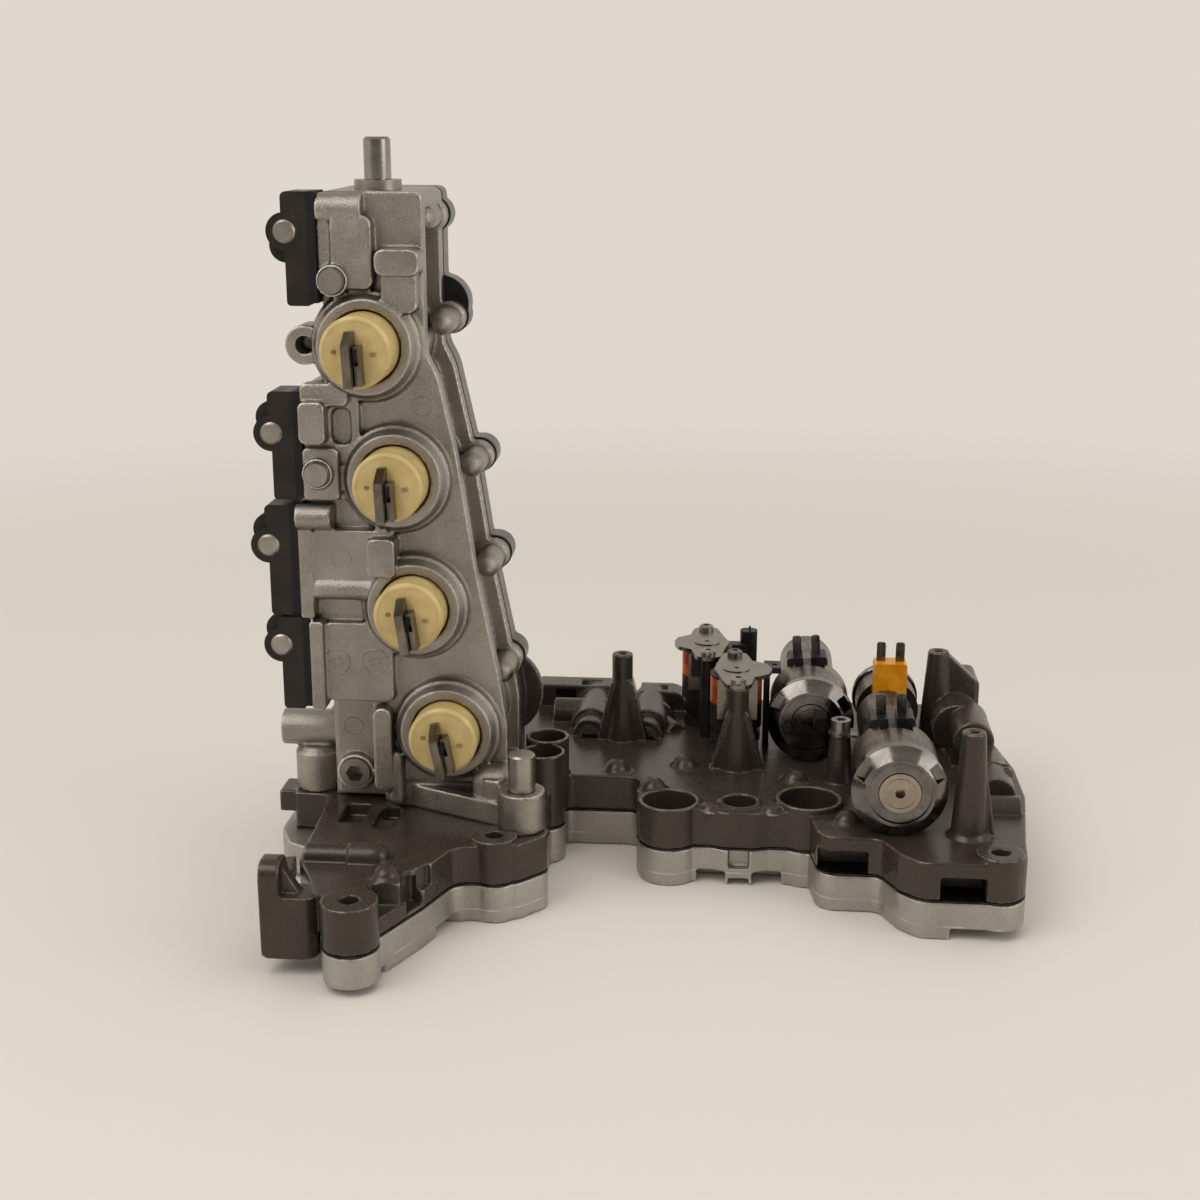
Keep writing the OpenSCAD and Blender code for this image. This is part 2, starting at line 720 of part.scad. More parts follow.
// Groove between the flanges along the sloping right side
module side_groove() {
    right = [for (p = tower_points) if (p.x > -81) p];
    neck_z = level(170);
    edge = [for (p = right) [
        p.x - groove_w * (p.y > neck_z ? 1.7 : 1), p.y + (p.y > level(200) ? -groove_w : 0), 6
    ]];
    outer = [for (i = [len(right) - 1:-1:0]) [right[i].x + 30, right[i].y + (i == 0 ? -groove_w : 0), 0]];
    difference() {
        along_y(wall_y + flange_t, tower_depth - 2 * flange_t) polygon(rounded(concat(edge, outer)));
        for (i = [0:3]) bar_y(piston_x[i], wall_y, piston_z(i), boss_root_d - 6, tower_depth);
        block([-70, wall_y, -1], [-40, wall_back, 12]);
    }
}

// Lugs for the screws of the back plate
module screw_lugs() {
    lug_len = 20;
    for (p = back_screws) {
        bar_y(p.x, wall_back - flange_t, p.y, lug_d, flange_t);
        bar_y(p.x, wall_back - lug_len, p.y, bullet_d, lug_len);
        translate([p.x, wall_back - lug_len, p.y]) sphere(d = bullet_d - 0.8);
    }
}

// A block on the tower's front wall, its heights following the tower
module wall_block(left, low, right, high, front, r = 2) {
    front_block(left, level(low), right, level(high), front, wall_y + bite, r);
}

// A half round bar along X on the front wall
module wall_bar(left, right, front, z, d) {
    translate([left, front + d / 2, level(z)]) rotate([0, 90, 0]) cylinder(d = d, h = right - left);
}

// Blocks, pads and bosses on the left half of the front wall
module left_blocks() {
    wall_bar(-117, -101, pad_front, 221, 11);
    wall_block(-117, 192, -111, 217, pad_front + 2, 1);
    wall_block(-112, 194, -97.5, 219, pad_front, 3);
    wall_block(-96, 199, -80.5, 208, block_front, 3);
    wall_block(-94.5, 186, -82, 201, block_front + 3, 3);
    wall_block(-125, 119, -104.5, 158, pad_front + 2.5, 4);
    wall_block(-125, 140, -115.5, 155, block_front, 2.5);
    wall_block(-125, 153, -108, 161, pad_front);
    wall_block(-125, 119, -112, 138, pad_front);
    wall_bar(-128, -115, block_front, 113, 9);
    wall_block(-128, 109, -115, 117, block_front + 4.5, 1);
    wall_block(-128, 75, -123, 117, pad_front, 1);
    wall_block(-124, 86, -93, 108, pad_front + 1, 3);
    wall_bar(-122, -97, pad_front - 0.6, 86, 9);
    wall_block(-102, 92, -92, 106, block_front);
    wall_block(-125, 40, -120, 74, pad_front - 1, 1);
    wall_block(-121, 43, -95, 73, pad_front + 2, 3);
    front_block(-119.5, 2, -97, 46, toe_y - 4, toe_y + bite, 2);
    translate([-144, 1, 23]) rotate([0, 90, 0]) cylinder(d = 14, h = 26);
    at([-130.4, -2]) {
        cylinder(d = 17.2, h = 15);
        translate([0, 0, 15]) cylinder(d1 = 17.2, d2 = 12, h = 2.4);
    }
    front_block(-103, 8, -96, 41, pad_front, toe_y + bite, 3.4);
    for (p = core_plugs) bar_y(p.x, block_front + 2, p.y, core_plug_d + 1.6, 9);
    bar_y(hex_plug.x, hex_plug_front + 1, hex_plug.y, hex_plug_d + 2.6, 9);
    bar_y(-123.4, wall_y - 2, level(174), 14, 14);
    front_block(-122, level(168), -110, level(180), wall_y - 2, wall_y + 12, 1);
}

// Foot of the tower: slanted rim, floor and the boss of the dowel
module tower_foot() {
    rim_t = 4;
    rim_top = 9;
    start = [-101, -14];
    end = foot - [4, 0];
    run = end - start;
    linear_extrude(3) polygon(rounded([
        [start.x, toe_y + 4, 1], [start.x, start.y - 2, 2], [end.x, end.y - 2, 3],
        [foot.x + 6, foot.y, 3], [-52, toe_y + 4, 1]
    ]));
    at(start) rotate([0, 0, atan2(run.y, run.x)])
        translate([0, -rim_t / 2, 0]) cube([norm(run), rim_t, rim_top]);
    at(foot) cylinder(d = foot_d, h = foot_h);
    difference() {
        linear_extrude(foot_h + 2) polygon(rounded([
            [-64, wall_y + 4, 1], [-61, foot.y + 3, 3], [foot.x, foot.y, 1], [-46, wall_y + 4, 4]
        ]));
        at(foot, foot_h) cylinder(d = foot_d + 1, h = 3 + bite);
    }
}

// Bores for the plugs, pins and screws of the tower
module tower_holes() {
    for (p = core_plugs) bar_y(p.x, block_front - bite, p.y, core_plug_d, 9);
    front_block(-114.6, level(139), -107.5, level(152), pad_front - bite, wall_y - 0.5, 2.5);
    bar_y(hex_plug.x, hex_plug_front, hex_plug.y, hex_plug_d, 12);
    bar_y(-123.4, wall_y - 5, level(174), 6.4, 13);
    screw_start = wall_back - back_screw_len - 1;
    for (p = back_screws)
        bar_y(p.x, screw_start, p.y, back_screw_d + 2 * screw_gap, back_screw_len + 2);
    at(locating_pin, tower_h - pin_seat) cylinder(d = locating_pin_d - 2 * pin_step, h = pin_seat + bite);
    at(foot, foot_h - pin_seat) cylinder(d = dowel_d - 2 * pin_step, h = pin_seat + 4 * bite);
}

// Sheet of the shape that the back plate and its gasket share
module back_sheet(front, thick) {
    along_y(front, thick) polygon(rounded(tower_points));
    for (p = back_screws) if (p.x > right_half) bar_y(p.x, front, p.y, lug_d + 1, thick);
    bar_y(plate_ear.x, front, plate_ear.y, plate_ear.z, thick);
}

module back_screw_holes(front, depth) {
    for (p = back_screws) bar_y(p.x, front - bite, p.y, back_screw_d + 2 * screw_gap, depth + 2 * bite);
}

module tower_gasket() {
    color([0.12, 0.12, 0.12]) on_deck() difference() {
        back_sheet(wall_back, gasket_t);
        back_screw_holes(wall_back, gasket_t);
    }
}

// Coated back plate with a raised channel cover on its rear face
module tower_back_plate() {
    rib_t = 4;
    color([0.23, 0.2, 0.18]) on_deck() difference() {
        union() {
            back_sheet(plate_front, back_plate_t);
            bar_y(
                plate_disc.x, plate_front + plate_disc_start, plate_disc.y, plate_disc.z,
                back_plate_t - plate_disc_start
            );
            for (i = [0:2]) front_block(
                cover_left, piston_z(i) + 8, cover_right - 4 * i, piston_z(i + 1) - 7,
                plate_back - bite, plate_back + rib_t, cover_r
            );
        }
        back_screw_holes(plate_front, back_plate_t + rib_t);
        for (p = back_screws) bar_y(p.x, plate_back, p.y, back_head_room, rib_t + bite);
    }
}

module back_plate_screws() {
    shank = back_screw_len + gasket_t + back_plate_t + bite;
    color([0.3, 0.3, 0.31]) on_deck() for (p = back_screws) {
        bar_y(p.x, wall_back - back_screw_len, p.y, back_screw_d, shank);
        difference() {
            bar_y(p.x, plate_back, p.y, back_head_d, back_head_h);
            translate([p.x, plate_back + back_head_h / 2, p.y]) rotate([-90, 0, 0])
                cylinder(d = 4.6, h = back_head_h, $fn = 6);
        }
    }
}

// Moulded piston head with a rim at its front and two shallow dimples
module piston(i) {
    edge = 1;
    front = boss_front - piston_reach(i);
    groove = 2.4;
    at_face = [piston_x[i], front, piston_z(i)];
    color([0.8, 0.69, 0.4]) on_deck() translate(at_face) rotate([-90, 0, 0]) difference() {
        rotate_extrude() polygon([
            [0, 0], [piston_d / 2 - edge, 0], [piston_d / 2, edge], [piston_d / 2, piston_len - 8],
            [piston_d / 2 - groove, piston_len - 8], [piston_d / 2 - groove, piston_len - 4],
            [piston_d / 2, piston_len - 4], [piston_d / 2, piston_len - edge],
            [piston_d / 2 - edge, piston_len], [0, piston_len]
        ]);
        for (s = [-1, 1]) rotate([0, 0, finger_roll[i]])
            translate([s * 0.28 * piston_d, 0, -bite]) cylinder(d = 1.6, h = bite + 0.4);
    }
}

// Steel shift finger on the piston's face: a long blade and a windowed short one
module shift_finger(i) {
    front = boss_front - piston_reach(i);
    top = 7.6;
    low = -10.8;
    short = 0.6 * finger_reach;
    short_top = 2.8;
    base = 1.6;
    gap = 0.3;
    seam = 0.5;
    right = seam + 2.4;
    at_face = [piston_x[i], front, piston_z(i)];
    color([0.38, 0.37, 0.36]) on_deck() translate(at_face) rotate([0, -finger_roll[i], 0]) difference() {
        union() {
            along_x(seam - finger_t, finger_t) polygon([
                [0, low], [0, top], [-0.25 * finger_reach, top],
                [-finger_reach, top - 4], [-finger_reach, low]
            ]);
            block([seam - bite / 2, -base, low], [right, 0, short_top]);
            block([seam + gap, -short, low], [right, 0, short_top]);
        }
        block([seam + gap + 0.2, -finger_reach, -3.7], [right - 0.5, -base, 2.1]);
    }
}

// Position sensor on the left of the tower: housing, pin boss and rounded shoulder
module sensor(i) {
    s = sensors[i];
    left = sensor_left(s);
    color([0.14, 0.13, 0.11]) on_deck() difference() {
        union() {
            along_y(sensor_front, sensor_depth) polygon(rounded([
                [s[0] - seal_t, s[1], 0.6], [s[0] - seal_t, s[2], 0.6], [left - 1, s[2], 2],
                [left - 1, s[2] - 7, 1.5], [left, s[2] - 9, 1], [left, s[1], 1.5]
            ]));
            bar_y(left, sensor_front, s[3], pin_boss_d, sensor_depth);
            bar_y(left - 0.5, sensor_front + 4, s[3] + (i == 0 ? -5 : 5), pin_boss_d - 1, sensor_depth - 5);
        }
        bar_y(left, sensor_front - bite, s[3], sensor_pin_d, sensor_depth + 2 * bite);
    }
}

module sensor_seals() {
    color([0.04, 0.04, 0.04]) on_deck() for (s = sensors)
        block([s[0] - seal_t, sensor_front, s[1] + 1], [s[0], sensor_front + sensor_depth, s[2]]);
}

module sensor_pins() {
    color([0.6, 0.6, 0.6]) on_deck() for (s = sensors) {
        x = sensor_left(s);
        bar_y(x, sensor_front - 0.6, s[3], sensor_pin_d - 1.4, 0.6, sensor_pin_d);
        bar_y(x, sensor_front, s[3], sensor_pin_d, sensor_depth);
    }
}

// A round pin with a thinner end in its seat and a chamfer at its top
module stepped_pin(r, length, seat, edge) {
    rotate_extrude() polygon([
        [0, 0], [r - pin_step, 0], [r - pin_step, seat], [r, seat],
        [r, length - edge], [r - edge, length], [0, length]
    ]);
}

// Locating pin on the tower, in its collar
module locating_pin() {
    edge = 0.8;
    length = pin_seat + collar_h + locating_pin_h;
    r = locating_pin_d / 2;
    color([0.62, 0.61, 0.6]) at(locating_pin, deck_top + tower_h - pin_seat)
        stepped_pin(r, length, pin_seat + collar_h + pin_ease, edge);
}

module pin_collar() {
    color([0.55, 0.54, 0.53]) at(locating_pin, deck_top + tower_h) difference() {
        cylinder(d = collar_d, h = collar_h);
        translate([0, 0, -bite]) cylinder(d = locating_pin_d - 2 * pin_step, h = collar_h + 2 * bite);
    }
}

// Dowel on the tower's foot
module foot_dowel() {
    edge = 0.7;
    length = pin_seat + dowel_h;
    r = dowel_d / 2;
    color([0.68, 0.68, 0.68]) at(foot, deck_top + foot_h - pin_seat)
        stepped_pin(r, length, pin_seat + pin_ease, edge);
}

// Hollow plug with a hexagon socket
module hex_plug() {
    length = 10;
    mouth = [hex_plug.x, hex_plug_front, hex_plug.y];
    color([0.6, 0.6, 0.6]) on_deck() translate(mouth) rotate([-90, 0, 0]) difference() {
        cylinder(d = hex_plug_d, h = length);
        translate([0, 0, -bite]) cylinder(d = hex_socket / cos(30), h = 8, $fn = 6);
    }
}

module core_plugs() {
    color([0.58, 0.57, 0.56]) on_deck() for (p = core_plugs) {
        bar_y(p.x, block_front, p.y, core_plug_d - 1, 1, core_plug_d);
        bar_y(p.x, block_front + 1, p.y, core_plug_d, 7);
    }
}

// Steel yoke of an upright solenoid: top plate with two lugs, and two straps
module yoke(place, shift) {
    strap_y = coil_d / 2 + 0.2;
    strap_w = 16;
    color([0.5, 0.49, 0.47]) at(place, deck_top) rotate([0, 0, yoke_turn]) difference() {
        union() {
            translate([0, 0, coil_top - yoke_t]) linear_extrude(yoke_t) {
                translate([shift, 0]) circle(d = coil_d + 2);
                translate([shift, 0]) polygon(rounded([
                    [-yoke_w / 2, -8, 3], [yoke_w / 2, -8, 3], [yoke_w / 2, 8, 3], [-yoke_w / 2, 8, 3]
                ]));
                polygon(rounded([
                    [-4.7, -yoke_pitch / 2 - 4, 4], [4.7, -yoke_pitch / 2 - 4, 4], [9, 0, 2],
                    [4.7, yoke_pitch / 2 + 4, 4], [-4.7, yoke_pitch / 2 + 4, 4], [-9, 0, 2]
                ]));
            }
            for (s = [-1, 1]) {
                edge = s > 0 ? strap_y : -strap_y - yoke_t;
                strap_top = coil_top - yoke_t + 0.1;
                block([-strap_w / 2, edge, coil_z - 4], [strap_w / 2, edge + yoke_t, strap_top]);
            }
        }
        translate([0, 0, coil_z]) cylinder(d = core_d, h = coil_top);
        for (s = [-1, 1])
            translate([0, s * yoke_pitch / 2, coil_z]) cylinder(d = post_hole_d, h = coil_top);
    }
}

// Copper winding of an upright solenoid
module coil(place) {
    color([0.72, 0.32, 0.16]) at(place, deck_top + coil_z) difference() {
        cylinder(d = coil_d, h = coil_top - yoke_t - coil_z - 1);
        translate([0, 0, -bite]) cylinder(d = core_d + 2, h = coil_top);
    }
}

// Black bobbin with its foot, grooves and the rear screw pillar
module bobbin(place) {
    r = coil_d / 2;
    sleeve_r = core_d / 2 + 1;
    flange_z = coil_top - yoke_t - 1;
    color([0.06, 0.06, 0.06]) at(place, deck_top) rotate([0, 0, yoke_turn]) {
        rotate_extrude() polygon([
            [0, 0], [r - 1, 0], [r - 1, 4], [r - 2, 4], [r - 2, 6], [r - 0.5, 6], [r - 0.5, coil_foot],
            [r - 1.6, coil_foot], [r - 1.6, coil_foot + 2], [r, coil_foot + 2], [r, coil_z],
            [sleeve_r, coil_z], [sleeve_r, flange_z], [r, flange_z],
            [r, flange_z + 1], [core_d / 2, flange_z + 1],
            [core_d / 2, flange_z - 2], [0, flange_z - 2]
        ]);
        translate([0, yoke_pitch / 2, 0]) difference() {
            cylinder(d = 7, h = coil_top - yoke_t);
            translate([0, 0, coil_z]) cylinder(d = post_hole_d, h = coil_top);
        }
    }
}

// Front screw pillar of the rear upright solenoid and the plugs of both coils
module coil_connectors() {
    plate_z = coil_top - yoke_t;
    color([0.08, 0.08, 0.08]) {
        at(coil_a + spun([0, -yoke_pitch / 2], yoke_turn), deck_top) difference() {
            cylinder(d = 6.4, h = plate_z);
            translate([0, 0, coil_z]) cylinder(d = post_hole_d, h = coil_top);
        }
        at(coil_a + [-1, -coil_d / 2 - 2.8], deck_top + coil_z + 3) block([-5, -3, 0], [6, 0, 8]);
        at(coil_b + [coil_d / 2 + 1.6, 12], deck_top) difference() {
            union() {
                block([-1, -5, 0], [1.6, 5, plate_z]);
                block([-1, -5, plate_z - 2.4], [6, 5, plate_z]);
            }
            translate([3.4, 0, plate_z - 4]) cylinder(d = 2.4, h = 6);
        }
        at([34.8, 104], deck_top) {
            cylinder(d = 7.4, h = coil_top + 0.5);
            block([-9, -5, 0], [0, 1, coil_top - 5]);
            translate([0.4, -2.5, 0]) cylinder(d = 0.8, h = coil_top + 3);
        }
    }
}

module solenoid_cores() {
    color([0.36, 0.35, 0.34]) for (p = uprights) at(p, deck_top + coil_top - yoke_t - 3) difference() {
        cylinder(d = core_d, h = yoke_t + 3.4);
        translate([0, 0, yoke_t + 2.8]) cylinder(d = 2, h = 2);
    }
}

module yoke_screws() {
    color([0.33, 0.32, 0.31]) for (p = uprights) for (s = [-1, 1])
        at(p + spun([0, s * yoke_pitch / 2], yoke_turn), deck_top + coil_top) {
            difference() {
                union() {
                    cylinder(d = 6.2, h = 1.6);
                    translate([0, 0, 1.6]) cylinder(d1 = 6.2, d2 = 4.4, h = 0.7);
                }
                translate([0, 0, 1.2]) cylinder(d = 2.8, h = 2, $fn = 6);
            }
            translate([0, 0, -9]) cylinder(d = post_hole_d - 2 * screw_gap, h = 9 + bite / 2);
        }
}

// Regulator pieces are drawn from the centre of the ring's front face
module on_axis(place, turned = false) {
    translate([place.x, place.y, turned ? small_axis_z : axis_z]) rotate([-90, 0, 0])
        mirror([0, 0, turned ? 1 : 0]) scale(turned ? small : 1) children();
}

// Chamfered front ring with three notches
module regulator_ring(place, turned = false) {
    slope = 3.4;
    r = ring_d / 2;
    inner = pole_d / 2 + 4;
    color([0.5, 0.5, 0.5]) on_axis(place, turned) difference() {
        rotate_extrude() polygon([
            [pole_d / 2 + 0.3, 0.8], [inner - 0.4, 0.8], [inner - 0.4, 1.4], [inner, 1.4], [inner, 0],
            [r - slope - 1.2, 0], [r, slope], [r, ring_len - 0.6],
            [r - 0.6, ring_len], [pole_d / 2 + 0.3, ring_len]
        ]);
        for (a = [90, 210, 330]) rotate([0, 0, a])
            translate([r - slope - 0.6, -3.2, -bite]) cube([10, 6.4, 3.2 + bite]);
    }
}

// Drawn steel can with a smaller can at its rear
module regulator_can(place, front_len, rear_len, turned = false) {
    length = ring_len + front_len;
    color([0.6, 0.59, 0.57]) on_axis(place, turned) {
        difference() {
            translate([0, 0, ring_len]) cylinder(d = can_d, h = front_len);
            translate([0, 0, length - 7]) linear_extrude(8)
                translate([-6, -can_d / 2 - bite]) square([12, 3 + bite]);
        }
        translate([0, 0, length - bite]) cylinder(d = nose_d, h = plug_len + rear_len + bite - 1);
        translate([0, 0, length + plug_len + rear_len - 1]) cylinder(d1 = nose_d, d2 = nose_d - 2, h = 1);
    }
}

// Pole disc with a fine hole at its middle
module pole_disc(place, turned = false) {
    color([0.72, 0.68, 0.6]) on_axis(place, turned) difference() {
        translate([0, 0, 0.4]) cylinder(d = pole_d, h = ring_len - 0.4);
        translate([0, 0, -bite]) cylinder(d = 3.6, h = 5);
        difference() {
            translate([0, 0, 0.2]) cylinder(d = pole_d - 3.4, h = 0.5);
            cylinder(d = pole_d - 4, h = 2);
        }
    }
}

// Connector on the rear can with a block for the two terminals, most with a saddle around the can
module connector(place, front_len, paint, turned = false) {
    start = ring_len + front_len;
    block_w = turned ? (terminal_pitch + 5.6) / small : terminal_pitch + 9;
    base = turned ? 2 - nose_d / 2 : 0;
    block_top = turned ? amber_top / small : can_d / 2 + 1;
    color(paint) on_axis(place, turned) rotate([0, 0, turned ? 0 : -plug_roll]) difference() {
        translate([0, 0, start]) {
            if (!turned) cylinder(d = nose_d + collar_step, h = plug_len);
            linear_extrude(plug_len) polygon(rounded([
                [-block_w / 2, base, 0.6], [block_w / 2, base, 0.6],
                [block_w / 2, -block_top, 1.5], [-block_w / 2, -block_top, 1.5]
            ]));
        }
        translate([0, 0, start - bite]) cylinder(d = nose_d, h = plug_len + 2 * bite);
        if (!turned) translate([-1.6, -block_top - bite, start - bite])
            cube([3.2, 4 + bite, plug_len + 2 * bite]);
    }
}

// Flat blades of the connectors
module terminals() {
    run = ring_len + can_len + plug_len / 2;
    seat = can_d / 2 + 1;
    places = [
        [regulator_c, run, -plug_roll, axis_z, seat],
        [regulator_d, run, -plug_roll, axis_z, seat],
        [regulator_e, -small * (ring_len + short_can + plug_len / 2), 0, small_axis_z, amber_top]
    ];
    color([0.4, 0.38, 0.35]) for (p = places)
        translate([p[0].x, p[0].y + p[1], p[3]]) rotate([0, p[2], 0])
            for (s = [-1, 1]) translate([s * terminal_pitch / 2, 0, p[4]])
                along_y(-terminal_t / 2, terminal_t) polygon(rounded([
                    [-terminal_w / 2, 0, 0.2], [terminal_w / 2, 0, 0.2],
                    [terminal_w / 2, terminal_h, 1], [-terminal_w / 2, terminal_h, 1]
                ]));
}

// Screw with a star recess that holds the clamp bracket between two regulators
module clamp_screw() {
    color([0.55, 0.54, 0.52]) at(clamp_at, deck_top + clamp_z - 5) difference() {
        union() {
            cylinder(d = clamp_d, h = 5);
            translate([0, 0, -10]) cylinder(d = screw_d, h = 10 + bite);
        }
        for (a = [0:60:120])
            translate([0, 0, 3]) rotate([0, 0, a]) translate([-2, -0.6, 0]) cube([4, 1.2, 3]);
    }
}

module clamp_bracket() {
    reach = regulator_d.x - can_d / 2 - clamp_at.x;
    color([0.5, 0.49, 0.48]) at(clamp_at, deck_top + clamp_z - 6) difference() {
        linear_extrude(1) {
            circle(d = clamp_d + 2);
            translate([0, -4]) square([reach + 3.4, 8]);
        }
        translate([0, 0, -bite]) cylinder(d = screw_d + 2 * screw_gap, h = 3);
        translate([regulator_d.x - clamp_at.x, -20, axis_z - deck_top - clamp_z + 6]) rotate([-90, 0, 0])
            cylinder(d = nose_d + collar_step + 2 * seat_gap, h = 40);
    }
}

// Spool with two lands and a stem for its spring
module spool(i) {
    r = spool_d / 2 - spool_play;
    waist = spool_d / 2 - 2;
    color([0.62, 0.6, 0.55]) translate([spool_x[i], spool_start, spool_z]) rotate([-90, 0, 0])
        rotate_extrude() polygon([
            [0, -3], [1.6, -3], [1.6, 0], [r, 0], [r, 6], [waist, 6], [waist, 12], [r, 12],
            [r, spool_len], [0, spool_len]
        ]);
}

// Points of a ring of the spring's wire at a share of its length
function spring_ring(t, turns, mean_r, length, sides) =
    let (a = 360 * turns * t, y = spring_wire / 2 + (length - spring_wire) * t)
    [for (k = [0:sides - 1])
        let (b = 360 * k / sides, out = mean_r + spring_wire / 2 * cos(b))
        [out * cos(a), out * sin(a), y + spring_wire / 2 * sin(b)]];

module spool_spring(i) {
    sides = 6;
    steps = 12 * spring_turns;
    mean_r = spool_d / 2 - 1.2;
    rings = [for (n = [0:steps]) spring_ring(n / steps, spring_turns, mean_r, spring_len, sides)];
    walls = [for (n = [0:steps - 1]) for (k = [0:sides - 1])
        let (low = n * sides, high = low + sides, next = (k + 1) % sides)
        [low + k, low + next, high + next, high + k]];
    ends = [[for (k = [sides - 1:-1:0]) k], [for (k = [0:sides - 1]) steps * sides + k]];
    color([0.5, 0.5, 0.5]) translate([spool_x[i], spool_start - spring_len, spool_z]) rotate([-90, 0, 0])
        polyhedron(points = [for (ring = rings) each ring], faces = concat(walls, ends));
}

module valve_plugs() {
    color([0.45, 0.44, 0.43]) for (x = spool_x) difference() {
        bar_y(x, spool_front, spool_z, spool_d, valve_plug_len);
        bar_y(x, spool_front - bite, spool_z, spool_d - 3, bite + 1.6);
    }
}

lower_body();
separator_plate();
upper_body();
casting_screws();
tower_housing();
tower_gasket();
tower_back_plate();
back_plate_screws();
for (i = [0:3]) {
    piston(i);
    shift_finger(i);
    sensor(i);
}
sensor_seals();
sensor_pins();
locating_pin();
pin_collar();
foot_dowel();
hex_plug();
core_plugs();
yoke(coil_a, plate_shift[0]);  // yoke_a
yoke(coil_b, plate_shift[1]);  // yoke_b
coil(coil_a);
coil(coil_b);
bobbin(coil_a);  // bobbin_a
bobbin(coil_b);  // bobbin_b
solenoid_cores();
coil_connectors();
yoke_screws();
regulator_ring(regulator_c);  // regulator_ring_c
regulator_ring(regulator_d);  // regulator_ring_d
regulator_ring(regulator_e, true);  // regulator_ring_e
regulator_can(regulator_c, can_len, nose_len);  // regulator_can_c
regulator_can(regulator_d, can_len, nose_len);  // regulator_can_d
regulator_can(regulator_e, short_can, short_nose, true);  // regulator_can_e
pole_disc(regulator_c);  // pole_disc_c
pole_disc(regulator_d);  // pole_disc_d
pole_disc(regulator_e, true);  // pole_disc_e
connector(regulator_c, can_len, [0.07, 0.07, 0.07]);  // connector_c
connector(regulator_d, can_len, [0.07, 0.07, 0.07]);  // connector_d
connector(regulator_e, short_can, [0.85, 0.5, 0.05], true);  // connector_e
terminals();
clamp_screw();
clamp_bracket();
for (i = [0:1]) {
    spool(i);
    spool_spring(i);
}
valve_plugs();
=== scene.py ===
import math

import bmesh
import bpy
import numpy as np
from mathutils import Matrix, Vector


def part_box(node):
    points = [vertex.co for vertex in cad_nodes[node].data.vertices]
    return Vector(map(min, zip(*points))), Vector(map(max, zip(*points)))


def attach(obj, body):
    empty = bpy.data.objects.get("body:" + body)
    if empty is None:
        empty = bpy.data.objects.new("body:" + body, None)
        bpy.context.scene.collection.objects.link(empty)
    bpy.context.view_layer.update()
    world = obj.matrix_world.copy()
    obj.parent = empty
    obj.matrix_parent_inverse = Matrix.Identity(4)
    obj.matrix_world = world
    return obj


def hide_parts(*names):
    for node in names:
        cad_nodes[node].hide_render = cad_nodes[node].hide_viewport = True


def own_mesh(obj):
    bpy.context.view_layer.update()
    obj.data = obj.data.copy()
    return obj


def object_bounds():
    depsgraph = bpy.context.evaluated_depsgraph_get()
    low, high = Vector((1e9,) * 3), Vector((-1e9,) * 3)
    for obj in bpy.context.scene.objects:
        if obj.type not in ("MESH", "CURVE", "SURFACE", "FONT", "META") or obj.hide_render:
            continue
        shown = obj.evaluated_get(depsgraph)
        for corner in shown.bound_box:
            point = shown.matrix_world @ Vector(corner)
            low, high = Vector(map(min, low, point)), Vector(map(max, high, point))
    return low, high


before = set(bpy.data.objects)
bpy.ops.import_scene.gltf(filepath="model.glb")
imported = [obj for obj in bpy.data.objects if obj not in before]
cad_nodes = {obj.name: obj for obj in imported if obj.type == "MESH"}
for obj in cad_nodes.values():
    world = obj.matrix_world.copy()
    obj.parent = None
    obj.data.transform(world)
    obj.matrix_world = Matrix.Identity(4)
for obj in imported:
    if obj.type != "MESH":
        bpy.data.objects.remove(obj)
cad_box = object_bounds()


# Lower casting: the bare die-cast aluminium channel plate at the bottom of the stack.
# It keeps the granular skin of the mould, and its edges are as soft as the mould left them.
# The stack's long screws hold it against the separator plate.
def srgb(red, green, blue):
    """Colour as seen on a screen, 0 to 255, as the linear colour that the shaders take."""
    def linear(part):
        part = part / 255
        return part / 12.92 if part <= 0.04045 else ((part + 0.055) / 1.055) ** 2.4
    return (linear(red), linear(green), linear(blue), 1.0)


def add_node(tree, kind, values=None, **settings):
    """New shader node with its settings, and its sockets set to a value or linked to a socket."""
    made = tree.nodes.new("ShaderNode" + kind)
    for name, value in settings.items():
        setattr(made, name, value)
    for socket, value in (values or {}).items():
        if isinstance(value, bpy.types.NodeSocket):
            tree.links.new(value, made.inputs[socket])
        else:
            made.inputs[socket].default_value = value
    return made


def new_group(name, inputs, outputs):
    """Empty shader group with named number inputs and outputs."""
    tree = bpy.data.node_groups.new(name, "ShaderNodeTree")
    for label, value in inputs.items():
        kind = "NodeSocketVector" if isinstance(value, tuple) else "NodeSocketFloat"
        socket = tree.interface.new_socket(label, in_out="INPUT", socket_type=kind)
        socket.default_value = value
    for label in outputs:
        tree.interface.new_socket(label, in_out="OUTPUT", socket_type="NodeSocketFloat")
    return tree, tree.nodes.new("NodeGroupInput"), tree.nodes.new("NodeGroupOutput")


def place_group(tree, group, values):
    """One use of a shader group in a material, with its own values."""
    made = tree.nodes.new("ShaderNodeGroup")
    made.node_tree = group
    for socket, value in values.items():
        made.inputs[socket].default_value = value
    return made


def mix_colour(tree, first, second, share):
    """Mix of two colours or colour sockets by a mask socket."""
    made = tree.nodes.new("ShaderNodeMix")
    made.data_type = "RGBA"
    for socket, value in ((0, share), (6, first), (7, second)):
        if isinstance(value, bpy.types.NodeSocket):
            tree.links.new(value, made.inputs[socket])
        else:
            made.inputs[socket].default_value = value
    return made.outputs[2]


def spread(tree, value, low, high, out_low, out_high):
    """A value's range from low to high, stretched smoothly to another range."""
    return add_node(tree, "MapRange", {
        "Value": value, "From Min": low, "From Max": high, "To Min": out_low, "To Max": out_high,
    }, interpolation_type="SMOOTHSTEP").outputs["Result"]


